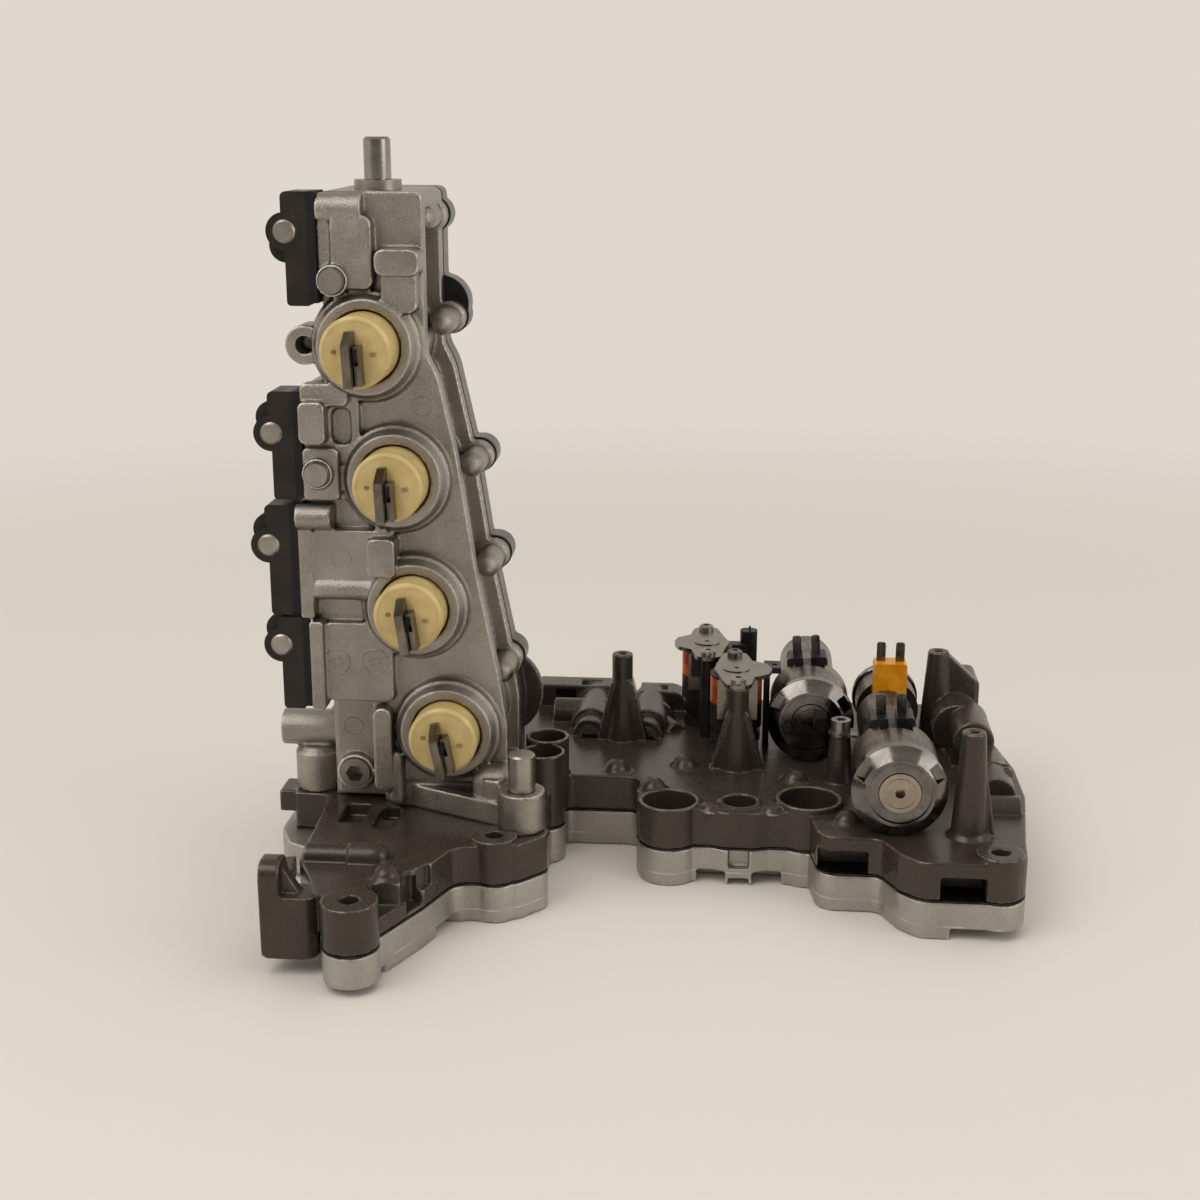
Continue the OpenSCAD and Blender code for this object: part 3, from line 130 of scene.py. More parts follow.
def make_cast_grain():
    """Grain of a cast skin: fine pits for the relief, and a slow mottling of the tone."""
    tree, entry, leave = new_group("cast grain", {"Grain Size": 0.0007}, ("Tone", "Height"))
    place = add_node(tree, "TexCoord").outputs["Object"]
    per_metre = add_node(tree, "Math", {0: 1.0, 1: entry.outputs["Grain Size"]}, operation="DIVIDE")
    pits = add_node(tree, "TexNoise", {
        "Vector": place, "Scale": per_metre.outputs[0], "Detail": 3.0, "Roughness": 0.6,
    }).outputs["Fac"]
    patches = add_node(tree, "TexNoise", {
        "Vector": place, "Scale": 70.0, "Detail": 4.0, "Roughness": 0.55,
    }).outputs["Fac"]
    blend = add_node(tree, "Math", {0: pits, 1: patches}, operation="ADD").outputs[0]
    tree.links.new(spread(tree, blend, 0.7, 1.3, 0.0, 1.0), leave.inputs["Tone"])
    tree.links.new(spread(tree, pits, 0.3, 0.7, 0.0, 1.0), leave.inputs["Height"])
    return tree


def make_edge_wear_and_painted_light():
    """Handling marks and painted light: convex edges made bright by rubbing and by a painted highlight, and
    inner corners darkened by a dirty film and by painted shade.
    """
    tree, entry, leave = new_group("edge wear and painted light", {"Reach": 0.5, "Dirt And Shade Reach": 0.5}, ("Bright", "Dirt And Shade"))
    bend = add_node(tree, "Attribute", attribute_name="edge").outputs["Fac"]
    place = add_node(tree, "TexCoord").outputs["Object"]
    chips = add_node(tree, "TexNoise", {
        "Vector": place, "Scale": 420.0, "Detail": 4.0, "Roughness": 0.7,
    }).outputs["Fac"]
    rubbed_and_highlit = add_node(tree, "Math", {0: bend, 1: chips}, operation="MULTIPLY").outputs[0]
    tree.links.new(
        add_node(tree, "Math", {0: spread(tree, rubbed_and_highlit, 0.12, 0.5, 0.0, 1.0), 1: entry.outputs["Reach"]},
                 operation="MULTIPLY").outputs[0], leave.inputs["Bright"])
    tree.links.new(
        add_node(tree, "Math", {0: spread(tree, bend, -0.1, -0.8, 0.0, 1.0), 1: entry.outputs["Dirt And Shade Reach"]},
                 operation="MULTIPLY").outputs[0], leave.inputs["Dirt And Shade"])
    return tree


cast_grain = make_cast_grain()
edge_wear_and_painted_light = make_edge_wear_and_painted_light()


def casting_material(
    name, low, high, worn_and_highlight, grime_and_shade, metallic, rough, grain_size, relief, wear_and_highlight, dirt_and_shade, seam=None,
):
    """Cast metal with a granular skin, convex edges made bright by rubbing and by a painted highlight, inner
    corners darkened by a dirty film and by painted shade, and a mould seam at a height.
    """
    seam_half, seam_share, seam_rise = 0.0003, 0.6, 3.0
    made = bpy.data.materials.new(name)
    made.use_nodes = True
    tree = made.node_tree
    shader = tree.nodes["Principled BSDF"]
    shader.inputs["Metallic"].default_value = metallic
    grain = place_group(tree, cast_grain, {"Grain Size": grain_size})
    edges = place_group(tree, edge_wear_and_painted_light, {"Reach": wear_and_highlight, "Dirt And Shade Reach": dirt_and_shade})
    skin = mix_colour(tree, low, high, grain.outputs["Tone"])
    # Convex edges take the bright colour, partly rubbing and partly a painted highlight; inner corners take
    # the dark colour, partly a dirty film and partly painted shade.
    rubbed_and_highlit = mix_colour(tree, skin, worn_and_highlight, edges.outputs["Bright"])
    colour = mix_colour(tree, rubbed_and_highlit, grime_and_shade, edges.outputs["Dirt And Shade"])
    height = grain.outputs["Height"]
    if seam:
        place = add_node(tree, "TexCoord").outputs["Object"]
        level = add_node(tree, "SeparateXYZ", {0: place}).outputs["Z"]
        ridge = add_node(tree, "Math", {0: level, 1: seam, 2: seam_half}, operation="COMPARE").outputs[0]
        breaks = add_node(tree, "TexNoise", {"Vector": place, "Scale": 90.0, "Detail": 2.0}).outputs["Fac"]
        shown = add_node(tree, "Math", {
            0: ridge, 1: spread(tree, breaks, 0.4, 0.65, 0.0, seam_share),
        }, operation="MULTIPLY").outputs[0]
        colour = mix_colour(tree, colour, worn_and_highlight, shown)
        height = add_node(tree, "Math", {
            0: shown, 1: seam_rise, 2: height,
        }, operation="MULTIPLY_ADD").outputs[0]
    tree.links.new(colour, shader.inputs["Base Color"])
    tree.links.new(
        spread(tree, grain.outputs["Tone"], 0.0, 1.0, rough[0], rough[1]), shader.inputs["Roughness"])
    bump = add_node(tree, "Bump", {"Strength": 0.6, "Distance": relief, "Height": height})
    tree.links.new(bump.outputs["Normal"], shader.inputs["Normal"])
    return made


def linked_object(name, mesh):
    """Object at the origin that carries a mesh."""
    made = bpy.data.objects.new(name, mesh)
    bpy.context.scene.collection.objects.link(made)
    return made


def final_mesh(piece):
    """Applies what is on a piece, so that a plain mesh is left."""
    ready = piece.evaluated_get(bpy.context.evaluated_depsgraph_get())
    mesh = bpy.data.meshes.new_from_object(ready)
    piece.modifiers.clear()
    piece.data = mesh
    return mesh


def mark_edges(mesh):
    """Stores how sharply the surface bends at each point: 1 is a convex radius of 1 mm."""
    count = len(mesh.vertices)
    points = np.empty(count * 3)
    mesh.vertices.foreach_get("co", points)
    points = points.reshape(-1, 3)
    normals = np.empty(count * 3)
    mesh.vertex_normals.foreach_get("vector", normals)
    normals = normals.reshape(-1, 3)
    ends = np.empty(len(mesh.edges) * 2, int)
    mesh.edges.foreach_get("vertices", ends)
    first, second = ends.reshape(-1, 2).T
    step = points[second] - points[first]
    length = np.maximum((step * step).sum(1), 1e-12)
    rise = np.zeros(count)
    met = np.zeros(count)
    np.add.at(rise, first, -2 * (step * normals[first]).sum(1) / length)
    np.add.at(rise, second, 2 * (step * normals[second]).sum(1) / length)
    np.add.at(met, first, 1)
    np.add.at(met, second, 1)
    bend = rise / np.maximum(met, 1) * 0.001
    for _ in range(2):
        total = bend * 2
        np.add.at(total, first, bend[second])
        np.add.at(total, second, bend[first])
        bend = total / (met + 2)
    stored = mesh.attributes.new("edge", "FLOAT", "POINT")
    stored.data.foreach_set("value", np.clip(bend, -3, 3).astype(np.float32))


def merged_shape(node):
    """A CAD node's loose triangles, joined to one closed shape."""
    shape = bmesh.new()
    shape.from_mesh(cad_nodes[node].data)
    bmesh.ops.remove_doubles(shape, verts=shape.verts, dist=1e-6)
    return shape


def cast_copy(node, voxel, passes, most_triangles, webs):
    """Copy of a CAD solid with the rounded edges and inner corners of a casting, and webs cast to it."""
    mesh = bpy.data.meshes.new(node + "_cast")
    shape = merged_shape(node)
    for low, high, rounding in webs:
        low, high = np.array(low), np.array(high)
        place = Matrix.Translation((low + high) / 2) @ Matrix.Diagonal((*(high - low), 1.0))
        web = bmesh.ops.create_cube(shape, size=1.0, matrix=place)["verts"]
        edges = list({edge for corner in web for edge in corner.link_edges})
        bmesh.ops.bevel(shape, geom=edges, offset=rounding, segments=5, profile=0.5, affect="EDGES")
    shape.to_mesh(mesh)
    shape.free()
    piece = linked_object(node + "_cast", mesh)
    guide = linked_object(node + "_guide", mesh.copy())
    grid = piece.modifiers.new("grid", "REMESH")
    grid.mode = "VOXEL"
    grid.voxel_size = voxel
    wrap = piece.modifiers.new("wrap", "SHRINKWRAP")
    wrap.target = guide
    soften = piece.modifiers.new("soften", "SMOOTH")
    soften.factor = 0.5
    soften.iterations = passes
    faces = len(final_mesh(piece).polygons) * 2
    bpy.data.objects.remove(guide)
    if faces > most_triangles:
        thin = piece.modifiers.new("thin", "DECIMATE")
        thin.ratio = most_triangles / faces
        final_mesh(piece)
    piece.data.materials.clear()
    piece.data.shade_smooth()
    mark_edges(piece.data)
    return piece


def dress_casting(node, material, voxel=0.0007, passes=2, most_triangles=190000, webs=()):
    """Shows a softened copy in place of a CAD casting."""
    piece = cast_copy(node, voxel, passes, most_triangles, webs)
    piece.data.materials.append(material)
    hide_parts(node)
    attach(piece, "valve_body")


# The last two colours are the bright edge colour, partly rubbing and partly a painted highlight, and the dark
# inner-corner colour, partly a dirty film and partly painted shade.
bare_casting = casting_material(
    "bare_casting", srgb(164, 160, 154), srgb(184, 180, 174), srgb(226, 223, 218), srgb(84, 80, 76),
    metallic=0.95, rough=(0.38, 0.48), grain_size=0.0008, relief=0.00012, wear_and_highlight=0.6, dirt_and_shade=0.7, seam=0.0048)
dress_casting("lower_body", bare_casting, passes=4)


# Separator plate: a thin steel sheet with metering holes, clamped between the two castings.
# Only its dark oiled edge shows, as a line round the stack.
def make_drawn_metal():
    """Fine streaks of a drawn, turned or ground metal, longer along one direction."""
    tree, entry, leave = new_group(
        "drawn metal", {"Streaks Per Metre": (2500.0, 2500.0, 200.0)}, ("Streak", "Patch"))
    place = add_node(tree, "TexCoord").outputs["Object"]
    turned = add_node(tree, "VectorMath", {
        0: place, 1: entry.outputs["Streaks Per Metre"],
    }, operation="MULTIPLY")
    streak = add_node(tree, "TexNoise", {
        "Vector": turned.outputs[0], "Scale": 1.0, "Detail": 3.0, "Roughness": 0.55,
    }).outputs["Fac"]
    patch = add_node(tree, "TexNoise", {
        "Vector": place, "Scale": 130.0, "Detail": 3.0, "Roughness": 0.6,
    }).outputs["Fac"]
    tree.links.new(spread(tree, streak, 0.3, 0.7, 0.0, 1.0), leave.inputs["Streak"])
    tree.links.new(spread(tree, patch, 0.35, 0.65, 0.0, 1.0), leave.inputs["Patch"])
    return tree


drawn_metal = make_drawn_metal()


def metal_material(name, low, high, rough, streaks, relief=0.00002, metallic=1.0):
    """Machined or pressed metal with fine streaks and cloudy patches."""
    made = bpy.data.materials.new(name)
    made.use_nodes = True
    tree = made.node_tree
    shader = tree.nodes["Principled BSDF"]
    shader.inputs["Metallic"].default_value = metallic
    drawn = place_group(tree, drawn_metal, {"Streaks Per Metre": streaks})
    tree.links.new(mix_colour(tree, low, high, drawn.outputs["Patch"]), shader.inputs["Base Color"])
    tree.links.new(
        spread(tree, drawn.outputs["Streak"], 0.0, 1.0, rough[0], rough[1]), shader.inputs["Roughness"])
    bump = add_node(tree, "Bump", {"Strength": 0.35, "Distance": relief, "Height": drawn.outputs["Streak"]})
    tree.links.new(bump.outputs["Normal"], shader.inputs["Normal"])
    return made


def dress(material, *names):
    """Gives CAD nodes that keep their shape a new material."""
    for name in names:
        mesh = cad_nodes[name].data
        if not mesh.materials:
            mesh.materials.append(material)
        for slot in cad_nodes[name].material_slots:
            slot.material = material


separator_steel = metal_material(
    "separator_steel", srgb(44, 42, 40), srgb(70, 66, 62), (0.35, 0.55), (300.0, 300.0, 4000.0))
dress(separator_steel, "separator_plate")


# Upper casting: the aluminium channel plate that carries ports, posts and solenoids.
# It has a dark brown-grey protective coat, thin and a little glossy, rubbed off at the edges; its bright
# edges are partly a painted highlight, and its inner corners are darkened by a dirty film and by painted
# shade.
coated_casting = casting_material(
    "coated_casting", srgb(56, 48, 41), srgb(66, 57, 50), srgb(166, 150, 134), srgb(24, 21, 18),
    metallic=0.3, rough=(0.24, 0.33), grain_size=0.0011, relief=0.00003, wear_and_highlight=0.55, dirt_and_shade=0.7)
dress_casting("upper_body", coated_casting)


# Screws: oiled steel socket screws of the stack, sunk into the castings from below.
# Those of the back plate, the yokes and the clamp are of the same steel.
screw_steel = metal_material(
    "screw_steel", srgb(120, 117, 112), srgb(168, 165, 160), (0.25, 0.45), (1800.0, 1800.0, 300.0))
dress(screw_steel, "casting_screws", "back_plate_screws", "yoke_screws", "clamp_screw")


# Tower: the bare aluminium housing of the four shift pistons, bolted upright on the deck.
# Its skin is the mould's, darker and warmer than the lower casting's, with bright edges that are partly
# rubbed and partly a painted highlight, and inner corners darkened by a dirty film and by painted shade.
tower_casting = casting_material(
    "tower_casting", srgb(146, 140, 132), srgb(174, 168, 160), srgb(236, 233, 227), srgb(50, 44, 38),
    metallic=1.0, rough=(0.32, 0.44), grain_size=0.0006, relief=0.00014, wear_and_highlight=0.8, dirt_and_shade=0.9)
rib_by_ring = ((-0.0986, -0.027, 0.031), (-0.0924, -0.012, 0.0525), 0.0026)
wall_under_ring = ((-0.097, -0.0215, 0.029), (-0.060, -0.008, 0.041), 0.001)
foot_shoulder = ((-0.066, -0.0335, 0.0295), (-0.050, -0.017, 0.0487), 0.0052)
dress_casting(
    "tower_housing", tower_casting, voxel=0.0006, passes=5,
    webs=(rib_by_ring, wall_under_ring, foot_shoulder))


def make_ring_tree():
    """A thin round ridge at each point of a mesh, in the plane of the tower's front."""
    tree = bpy.data.node_groups.new("ring marks", "GeometryNodeTree")
    for label, kind in (
        ("Points", "Geometry"), ("Radius", "Float"), ("Ridge", "Float"), ("Skin", "Material"),
    ):
        tree.interface.new_socket(label, in_out="INPUT", socket_type="NodeSocket" + kind)
    tree.interface.new_socket("Geometry", in_out="OUTPUT", socket_type="NodeSocketGeometry")
    entry = tree.nodes.new("NodeGroupInput")
    leave = tree.nodes.new("NodeGroupOutput")
    ring = tree.nodes.new("GeometryNodeCurvePrimitiveCircle")
    ring.inputs["Resolution"].default_value = 48
    profile = tree.nodes.new("GeometryNodeCurvePrimitiveCircle")
    profile.inputs["Resolution"].default_value = 8
    ridge = tree.nodes.new("GeometryNodeCurveToMesh")
    spots = tree.nodes.new("GeometryNodeInstanceOnPoints")
    spots.inputs["Rotation"].default_value = (math.radians(90), 0, 0)
    real = tree.nodes.new("GeometryNodeRealizeInstances")
    coat = tree.nodes.new("GeometryNodeSetMaterial")
    for source, target in (
        (entry.outputs["Radius"], ring.inputs["Radius"]),
        (entry.outputs["Ridge"], profile.inputs["Radius"]),
        (ring.outputs["Curve"], ridge.inputs["Curve"]),
        (profile.outputs["Curve"], ridge.inputs["Profile Curve"]),
        (entry.outputs["Points"], spots.inputs["Points"]),
        (ridge.outputs["Mesh"], spots.inputs["Instance"]),
        (spots.outputs["Instances"], real.inputs["Geometry"]),
        (real.outputs["Geometry"], coat.inputs["Geometry"]),
        (entry.outputs["Skin"], coat.inputs["Material"]),
        (coat.outputs["Geometry"], leave.inputs["Geometry"]),
    ):
        tree.links.new(source, target)
    return tree


def grow(name, tree, values, points=()):
    """Mesh that a geometry tree makes from named values, and from points where it takes them."""
    mesh = bpy.data.meshes.new(name)
    mesh.from_pydata(points, [], [])
    piece = linked_object(name, mesh)
    maker = piece.modifiers.new("maker", "NODES")
    maker.node_group = tree
    for socket in tree.interface.items_tree:
        if socket.in_out == "INPUT" and socket.name in values:
            maker[socket.identifier] = values[socket.name]
    final_mesh(piece)
    return piece


ring_tree = make_ring_tree()
ejector_marks = (
    (-0.0823, -0.022, 0.1816), (-0.0718, -0.022, 0.137), (-0.1124, -0.027, 0.1266), (-0.1131, -0.015, 0.0583),
)
date_dials = ((-0.1158, -0.026, 0.0871), (-0.1016, -0.026, 0.0875))
for name, spots, radius, ridge in (
    ("ejector_marks", ejector_marks, 0.0035, 0.00018),
    ("date_dial_rims", date_dials, 0.0048, 0.0003),
    ("date_dial_hubs", date_dials, 0.0019, 0.00025),
):
    marks = grow(name, ring_tree, {"Radius": radius, "Ridge": ridge, "Skin": tower_casting}, spots)
    marks.data.shade_smooth()
    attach(marks, "valve_body")


# Tower gasket: a thin black rubber sheet between the tower and its back plate.
# The seals of the sensors are moulded from the same rubber.
def make_moulded_skin():
    """Skin of a moulded plastic or rubber: fine spark grain and slow clouds in the tone."""
    tree, entry, leave = new_group("moulded skin", {"Grain Size": 0.0004}, ("Tone", "Height"))
    place = add_node(tree, "TexCoord").outputs["Object"]
    per_metre = add_node(tree, "Math", {0: 1.0, 1: entry.outputs["Grain Size"]}, operation="DIVIDE")
    spark = add_node(tree, "TexNoise", {
        "Vector": place, "Scale": per_metre.outputs[0], "Detail": 2.0, "Roughness": 0.5,
    }).outputs["Fac"]
    cloud = add_node(tree, "TexNoise", {
        "Vector": place, "Scale": 160.0, "Detail": 3.0, "Roughness": 0.55,
    }).outputs["Fac"]
    tree.links.new(spread(tree, cloud, 0.3, 0.7, 0.0, 1.0), leave.inputs["Tone"])
    tree.links.new(spread(tree, spark, 0.3, 0.7, 0.0, 1.0), leave.inputs["Height"])
    return tree


moulded_skin = make_moulded_skin()


def moulded_material(name, low, high, rough, grain_size, relief, glow=0.0, shine=0.5):
    """Moulded plastic or rubber; glow lets a little light into a pale plastic."""
    made = bpy.data.materials.new(name)
    made.use_nodes = True
    tree = made.node_tree
    shader = tree.nodes["Principled BSDF"]
    shader.inputs["Specular IOR Level"].default_value = shine
    if glow:
        shader.inputs["Subsurface Weight"].default_value = glow
        shader.inputs["Subsurface Radius"].default_value = (0.9, 0.6, 0.25)
        shader.inputs["Subsurface Scale"].default_value = 0.0015
    skin = place_group(tree, moulded_skin, {"Grain Size": grain_size})
    tree.links.new(mix_colour(tree, low, high, skin.outputs["Tone"]), shader.inputs["Base Color"])
    tree.links.new(
        spread(tree, skin.outputs["Tone"], 0.0, 1.0, rough[0], rough[1]), shader.inputs["Roughness"])
    bump = add_node(tree, "Bump", {"Strength": 0.4, "Distance": relief, "Height": skin.outputs["Height"]})
    tree.links.new(bump.outputs["Normal"], shader.inputs["Normal"])
    return made


gasket_rubber = moulded_material(
    "gasket_rubber", srgb(20, 20, 21), srgb(30, 30, 31), (0.5, 0.65), 0.0004, 0.00004, shine=0.25)
dress(gasket_rubber, "tower_gasket", "sensor_seals")


# Back plate of the tower: a casting that closes the channels behind the pistons.
# It has the upper casting's dark coat, and screws hold it on from behind.
dress_casting("tower_back_plate", coated_casting)


# Pistons: moulded straw-yellow heads that slide in the tower's bores.
# Each has a thin ridge round its face and two small brown marks where the gates were.
piston_plastic = moulded_material(
    "piston_plastic", srgb(188, 163, 106), srgb(204, 181, 122), (0.3, 0.4), 0.0006, 0.00002, glow=0.15)
dress(piston_plastic, "piston_1", "piston_2", "piston_3", "piston_4")
gate_plastic = moulded_material(
    "gate_plastic", srgb(156, 122, 66), srgb(172, 138, 80), (0.35, 0.45), 0.0006, 0.00002, glow=0.1)
gate_reach = {-1: 0.0073, 1: 0.0061}
for number, roll in ((1, 11), (2, 8), (3, 2), (4, 3)):
    low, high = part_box("piston_%d" % number)
    middle = ((low.x + high.x) / 2, low.y, (low.z + high.z) / 2)
    slant = math.radians(roll)
    gates = [
        (middle[0] + side * reach * math.cos(slant), middle[1], middle[2] - side * reach * math.sin(slant))
        for side, reach in gate_reach.items()
    ]
    face_radius = (high.x - low.x) / 2 - 0.0016
    for name, spots, radius, ridge, material in (
        ("face_ridge_%d" % number, [middle], face_radius, 0.00012, piston_plastic),
        ("gate_marks_%d" % number, gates, 0.0006, 0.0003, gate_plastic),
    ):
        marks = grow(name, ring_tree, {"Radius": radius, "Ridge": ridge, "Skin": material}, spots)
        marks.data.shade_smooth()
        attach(marks, "piston_%d_unit" % number)


# Shift fingers: flat ground-steel tongues that stand out of the pistons.
# They hook the shift rails and move with their pistons.
finger_steel = metal_material(
    "finger_steel", srgb(104, 99, 91), srgb(126, 120, 111), (0.2, 0.28), (600.0, 600.0, 120.0), 0.000002)
dress(finger_steel, "shift_finger_1", "shift_finger_2", "shift_finger_3", "shift_finger_4")


# Position sensors: dark moulded housings along the tower's left edge, each held by a steel pin.
# The plugs, the dowel and the collar are of a dull metal, and the locating pin is ground bright.
sensor_plastic = moulded_material(
    "sensor_plastic", srgb(34, 30, 25), srgb(44, 39, 33), (0.34, 0.46), 0.0005, 0.00003, shine=0.25)
dress(sensor_plastic, "sensor_1", "sensor_2", "sensor_3", "sensor_4")
plug_metal = metal_material(
    "plug_metal", srgb(150, 144, 136), srgb(166, 160, 152), (0.34, 0.42), (500.0, 500.0, 500.0), 0.000004)
dress(plug_metal, "sensor_pins", "foot_dowel", "hex_plug", "core_plugs", "pin_collar")
pin_steel = metal_material(
    "pin_steel", srgb(150, 145, 138), srgb(164, 159, 152), (0.14, 0.18), (300.0, 300.0, 900.0), 0.000001)
dress(pin_steel, "locating_pin")


# Upright solenoids: two coils in pressed steel yokes on the deck.
# The copper wire is wound in close layers between the flanges of a black bobbin.
yoke_steel = metal_material(
    "yoke_steel", srgb(126, 118, 109), srgb(136, 128, 118), (0.24, 0.28), (250.0, 250.0, 250.0), 0.000001)
dress(yoke_steel, "yoke_a", "yoke_b", "solenoid_cores")
black_plastic = moulded_material(
    "black_plastic", srgb(22, 21, 21), srgb(33, 31, 30), (0.35, 0.5), 0.0005, 0.00004, shine=0.35)
dress(black_plastic, "bobbin_a", "bobbin_b", "coil_connectors", "connector_c", "connector_d")
copper_wire = metal_material(
    "copper_wire", srgb(150, 66, 34), srgb(204, 104, 60), (0.25, 0.4), (300.0, 300.0, 3000.0))


def make_winding_tree():
    """One layer of wire: a ring for each turn, stacked up the bobbin."""
    tree = bpy.data.node_groups.new("coil winding", "GeometryNodeTree")
    for label, kind in (
        ("Foot", "Vector"), ("Turns", "Int"), ("Pitch", "Float"),
        ("Coil Radius", "Float"), ("Wire Radius", "Float"), ("Wire", "Material"),
    ):
        tree.interface.new_socket(label, in_out="INPUT", socket_type="NodeSocket" + kind)
    tree.interface.new_socket("Geometry", in_out="OUTPUT", socket_type="NodeSocketGeometry")
    entry = tree.nodes.new("NodeGroupInput")
    leave = tree.nodes.new("NodeGroupOutput")
    step = tree.nodes.new("ShaderNodeCombineXYZ")
    line = tree.nodes.new("GeometryNodeMeshLine")
    turn = tree.nodes.new("GeometryNodeCurvePrimitiveCircle")
    turn.inputs["Resolution"].default_value = 56
    profile = tree.nodes.new("GeometryNodeCurvePrimitiveCircle")
    profile.inputs["Resolution"].default_value = 8
    wire = tree.nodes.new("GeometryNodeCurveToMesh")
    stack = tree.nodes.new("GeometryNodeInstanceOnPoints")
    real = tree.nodes.new("GeometryNodeRealizeInstances")
    coat = tree.nodes.new("GeometryNodeSetMaterial")
    for source, target in (
        (entry.outputs["Pitch"], step.inputs["Z"]),
        (entry.outputs["Foot"], line.inputs["Start Location"]),
        (entry.outputs["Turns"], line.inputs["Count"]),
        (step.outputs[0], line.inputs["Offset"]),
        (entry.outputs["Coil Radius"], turn.inputs["Radius"]),
        (entry.outputs["Wire Radius"], profile.inputs["Radius"]),
        (turn.outputs["Curve"], wire.inputs["Curve"]),
        (profile.outputs["Curve"], wire.inputs["Profile Curve"]),
        (line.outputs["Mesh"], stack.inputs["Points"]),
        (wire.outputs["Mesh"], stack.inputs["Instance"]),
        (stack.outputs["Instances"], real.inputs["Geometry"]),
        (real.outputs["Geometry"], coat.inputs["Geometry"]),
        (entry.outputs["Wire"], coat.inputs["Material"]),
        (coat.outputs["Geometry"], leave.inputs["Geometry"]),
    ):
        tree.links.new(source, target)
    return tree


winding_tree = make_winding_tree()
wire_radius = 0.00032
for letter in "ab":
    low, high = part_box("coil_" + letter)
    turns = int((high.z - low.z) / (2 * wire_radius))
    winding = grow("winding_" + letter, winding_tree, {
        "Foot": ((low.x + high.x) / 2, (low.y + high.y) / 2, low.z + wire_radius),
        "Turns": turns,
        "Pitch": (high.z - low.z) / turns,
        "Coil Radius": (high.x - low.x) / 2 - wire_radius,
        "Wire Radius": wire_radius,
        "Wire": copper_wire,
    })
    winding.data.shade_smooth()
    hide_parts("coil_" + letter)
    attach(winding, "valve_body")


# Pressure regulators: three solenoids that lie on the deck, each a drawn steel can.
# A dark polished ring is rolled over its front, round a paler pole disc.
can_steel = metal_material(
    "can_steel", srgb(88, 80, 74), srgb(122, 113, 105), (0.26, 0.4), (2600.0, 120.0, 2600.0), 0.000008)
ring_steel = metal_material(
    "ring_steel", srgb(100, 97, 94), srgb(122, 118, 114), (0.1, 0.18), (900.0, 900.0, 900.0), 0.000002)
pole_steel = metal_material(
    "pole_steel", srgb(150, 139, 123), srgb(164, 153, 137), (0.22, 0.28), (300.0, 300.0, 300.0), 0.000002)
terminal_steel = metal_material(
    "terminal_steel", srgb(92, 88, 84), srgb(136, 131, 126), (0.25, 0.4), (1500.0, 1500.0, 250.0))
amber_plastic = moulded_material(
    "amber_plastic", srgb(198, 124, 4), srgb(220, 150, 16), (0.3, 0.42), 0.0006, 0.00003, glow=0.2)
for letter in "cde":
    dress(can_steel, "regulator_can_" + letter)
    dress(ring_steel, "regulator_ring_" + letter)
    dress(ring_steel if letter == "c" else pole_steel, "pole_disc_" + letter)
dress(amber_plastic, "connector_e")
dress(terminal_steel, "terminals", "clamp_bracket")


# Regulating spools: ground steel valves in the bores of the two humps, each with an end plug.
# In the valve a return spring between plug and spool is pressed shorter as the spool moves to the front; it
# is drawn as a fixed copy on the valve body.
valve_metal = metal_material(
    "valve_metal", srgb(150, 147, 143), srgb(190, 187, 182), (0.14, 0.28), (1800.0, 200.0, 1800.0))
dress(valve_metal, "spool_1", "spool_2", "valve_plugs")
spring_steel = metal_material(
    "spring_steel", srgb(96, 94, 92), srgb(140, 137, 133), (0.25, 0.4), (1500.0, 1500.0, 1500.0))
for number in (1, 2):
    node = "spool_spring_%d" % number
    mesh = bpy.data.meshes.new("return_spring_%d" % number)
    shape = merged_shape(node)
    shape.to_mesh(mesh)
    shape.free()
    mesh.materials.append(spring_steel)
    mesh.shade_smooth()
    spring = linked_object(mesh.name, mesh)
    low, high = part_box(node)
    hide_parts(node)
    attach(spring, "valve_body")
    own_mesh(spring)


# Studio: a pale floor that fades into a pale background, three soft lamps and the camera.
# Polished metal mirrors a room that is darker in front and under the ceiling.
backdrop = srgb(224, 216, 206)
floor_size = 6.0
fade_from, fade_to = 0.35, 1.1
floor_mesh = bpy.data.meshes.new("floor")
floor_z = cad_box[0].z - 0.0002
floor_mesh.from_pydata(
    [(x * floor_size, y * floor_size, floor_z) for x, y in ((-1, -1), (1, -1), (1, 1), (-1, 1))],
    [], [(0, 1, 2, 3)])
floor = linked_object("floor", floor_mesh)
paper = bpy.data.materials.new("floor_paper")
paper.use_nodes = True
tree = paper.node_tree
shader = tree.nodes["Principled BSDF"]
shader.inputs["Base Color"].default_value = srgb(213, 206, 198)
shader.inputs["Roughness"].default_value = 0.6
shader.inputs["Specular IOR Level"].default_value = 0.2
place = add_node(tree, "TexCoord").outputs["Object"]
reach = add_node(tree, "VectorMath", {0: place}, operation="LENGTH").outputs["Value"]
rays = add_node(tree, "LightPath")
seen = add_node(tree, "Math", {
    0: rays.outputs["Is Camera Ray"], 1: rays.outputs["Is Glossy Ray"],
}, operation="MAXIMUM")
fade = add_node(tree, "Math", {
    0: spread(tree, reach, fade_from, fade_to, 0.0, 1.0), 1: seen.outputs[0],
}, operation="MULTIPLY")
glow = add_node(tree, "Emission", {"Color": backdrop})
joined = add_node(tree, "MixShader", {0: fade.outputs[0], 1: shader.outputs[0], 2: glow.outputs[0]})
tree.links.new(joined.outputs[0], tree.nodes["Material Output"].inputs["Surface"])
floor.data.materials.append(paper)

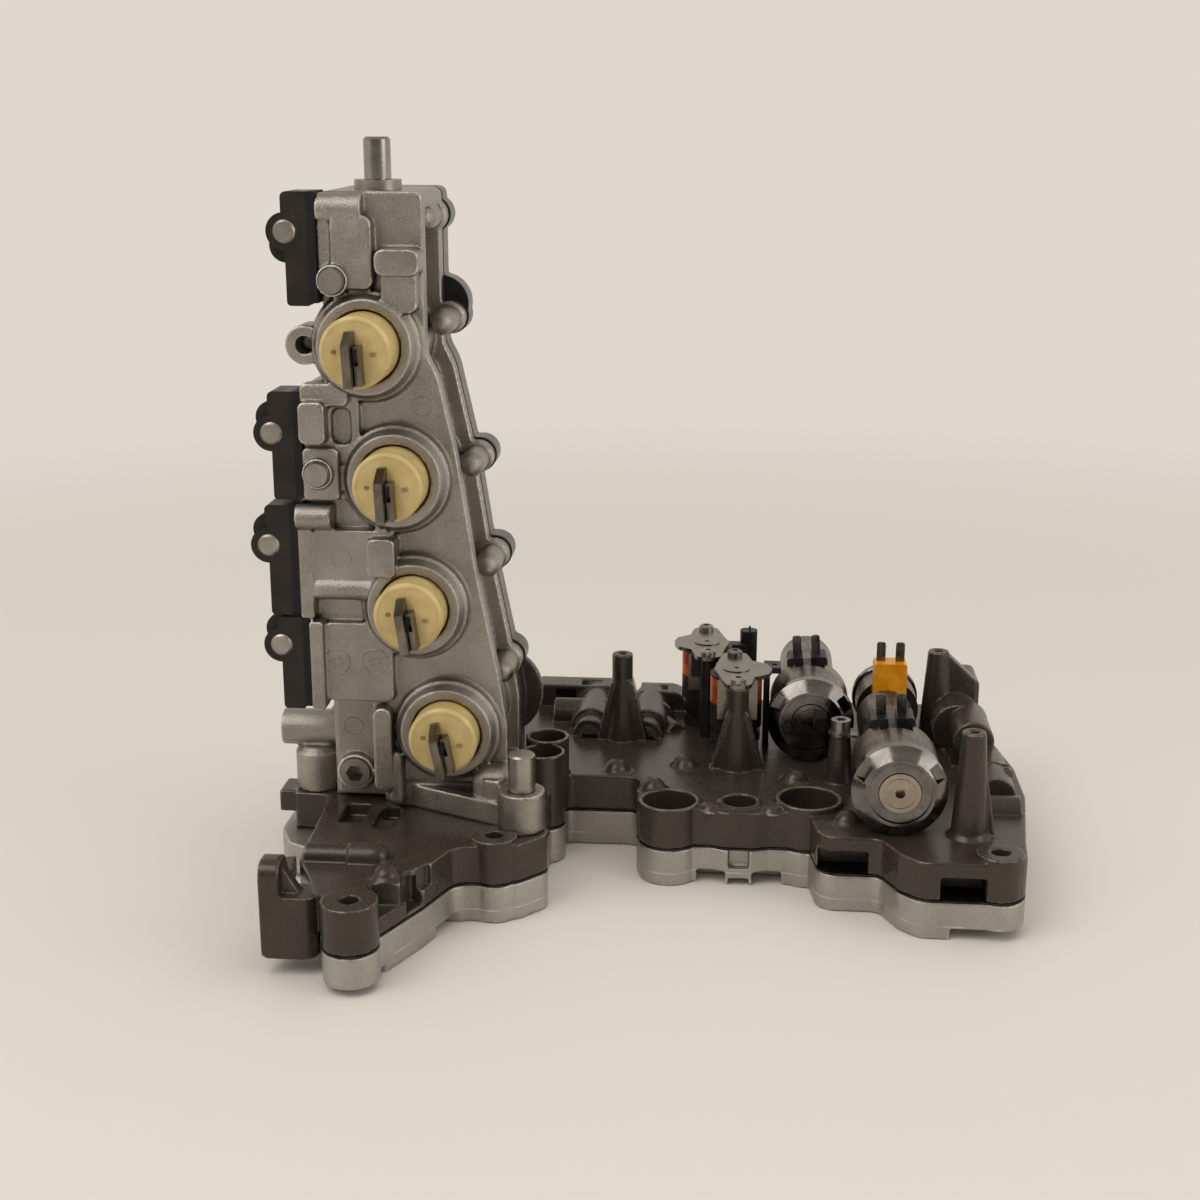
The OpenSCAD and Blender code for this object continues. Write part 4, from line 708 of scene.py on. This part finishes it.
world = bpy.data.worlds.new("studio")
world.use_nodes = True
tree = world.node_tree
tree.nodes.clear()
rays = add_node(tree, "LightPath")
way = add_node(tree, "SeparateXYZ", {0: add_node(tree, "TexCoord").outputs["Generated"]})
dark_front, ceiling_tone = srgb(74, 70, 66), srgb(190, 184, 176)
room = mix_colour(tree, dark_front, backdrop, spread(tree, way.outputs["Y"], -0.92, -0.5, 0.0, 1.0))
ceiling = mix_colour(tree, room, ceiling_tone, spread(tree, way.outputs["Z"], 0.35, 0.8, 0.0, 1.0))
ambient = add_node(tree, "Background", {"Color": (1.0, 0.98, 0.95, 1.0), "Strength": 0.5})
mirrored = add_node(tree, "Background", {"Color": ceiling, "Strength": 1.0})
behind = add_node(tree, "Background", {"Color": backdrop, "Strength": 1.0})
seen = add_node(tree, "Math", {
    0: rays.outputs["Is Camera Ray"], 1: rays.outputs["Is Transmission Ray"],
}, operation="MAXIMUM")
lit = add_node(tree, "MixShader", {
    0: rays.outputs["Is Glossy Ray"], 1: ambient.outputs[0], 2: mirrored.outputs[0],
})
full = add_node(tree, "MixShader", {0: seen.outputs[0], 1: lit.outputs[0], 2: behind.outputs[0]})
tree.links.new(full.outputs[0], add_node(tree, "OutputWorld").inputs["Surface"])
bpy.context.scene.world = world


def soft_lamp(name, spot, aim, size, power, mirrored=True):
    """Square soft box at a spot, turned to a point on the object; bright metal may leave it out."""
    lamp = bpy.data.lights.new(name, "AREA")
    lamp.shape = "SQUARE"
    lamp.size = size
    lamp.energy = power
    lamp.color = (1.0, 0.97, 0.93)
    made = bpy.data.objects.new(name, lamp)
    made.location = spot
    way = np.array(aim) - np.array(spot)
    turn = math.atan2(way[1], way[0]) - math.pi / 2
    tilt = math.atan2(way[2], math.hypot(way[0], way[1])) + math.pi / 2
    made.rotation_euler = (tilt, 0, turn)
    made.visible_glossy = mirrored
    bpy.context.scene.collection.objects.link(made)


soft_lamp("key", (-0.75, -0.75, 1.25), (-0.03, 0.0, 0.1), 1.1, 11.0)
soft_lamp("overhead", (0.15, 0.15, 1.4), (0.0, 0.0, 0.05), 1.8, 9.0, mirrored=False)
soft_lamp("fill", (1.2, -0.5, 0.6), (0.0, 0.0, 0.08), 0.8, 4.0)

camera = bpy.data.cameras.new("photo_camera")
camera.lens = 53.4
camera.sensor_width = 36
camera.clip_start = 0.01
viewer = bpy.data.objects.new("photo_camera", camera)
viewer.location = (0.035, -0.640, 0.284)
viewer.rotation_euler = (math.radians(74.5), 0, math.radians(5))
bpy.context.scene.collection.objects.link(viewer)
bpy.context.scene.camera = viewer
bpy.context.scene.view_settings.view_transform = "Standard"
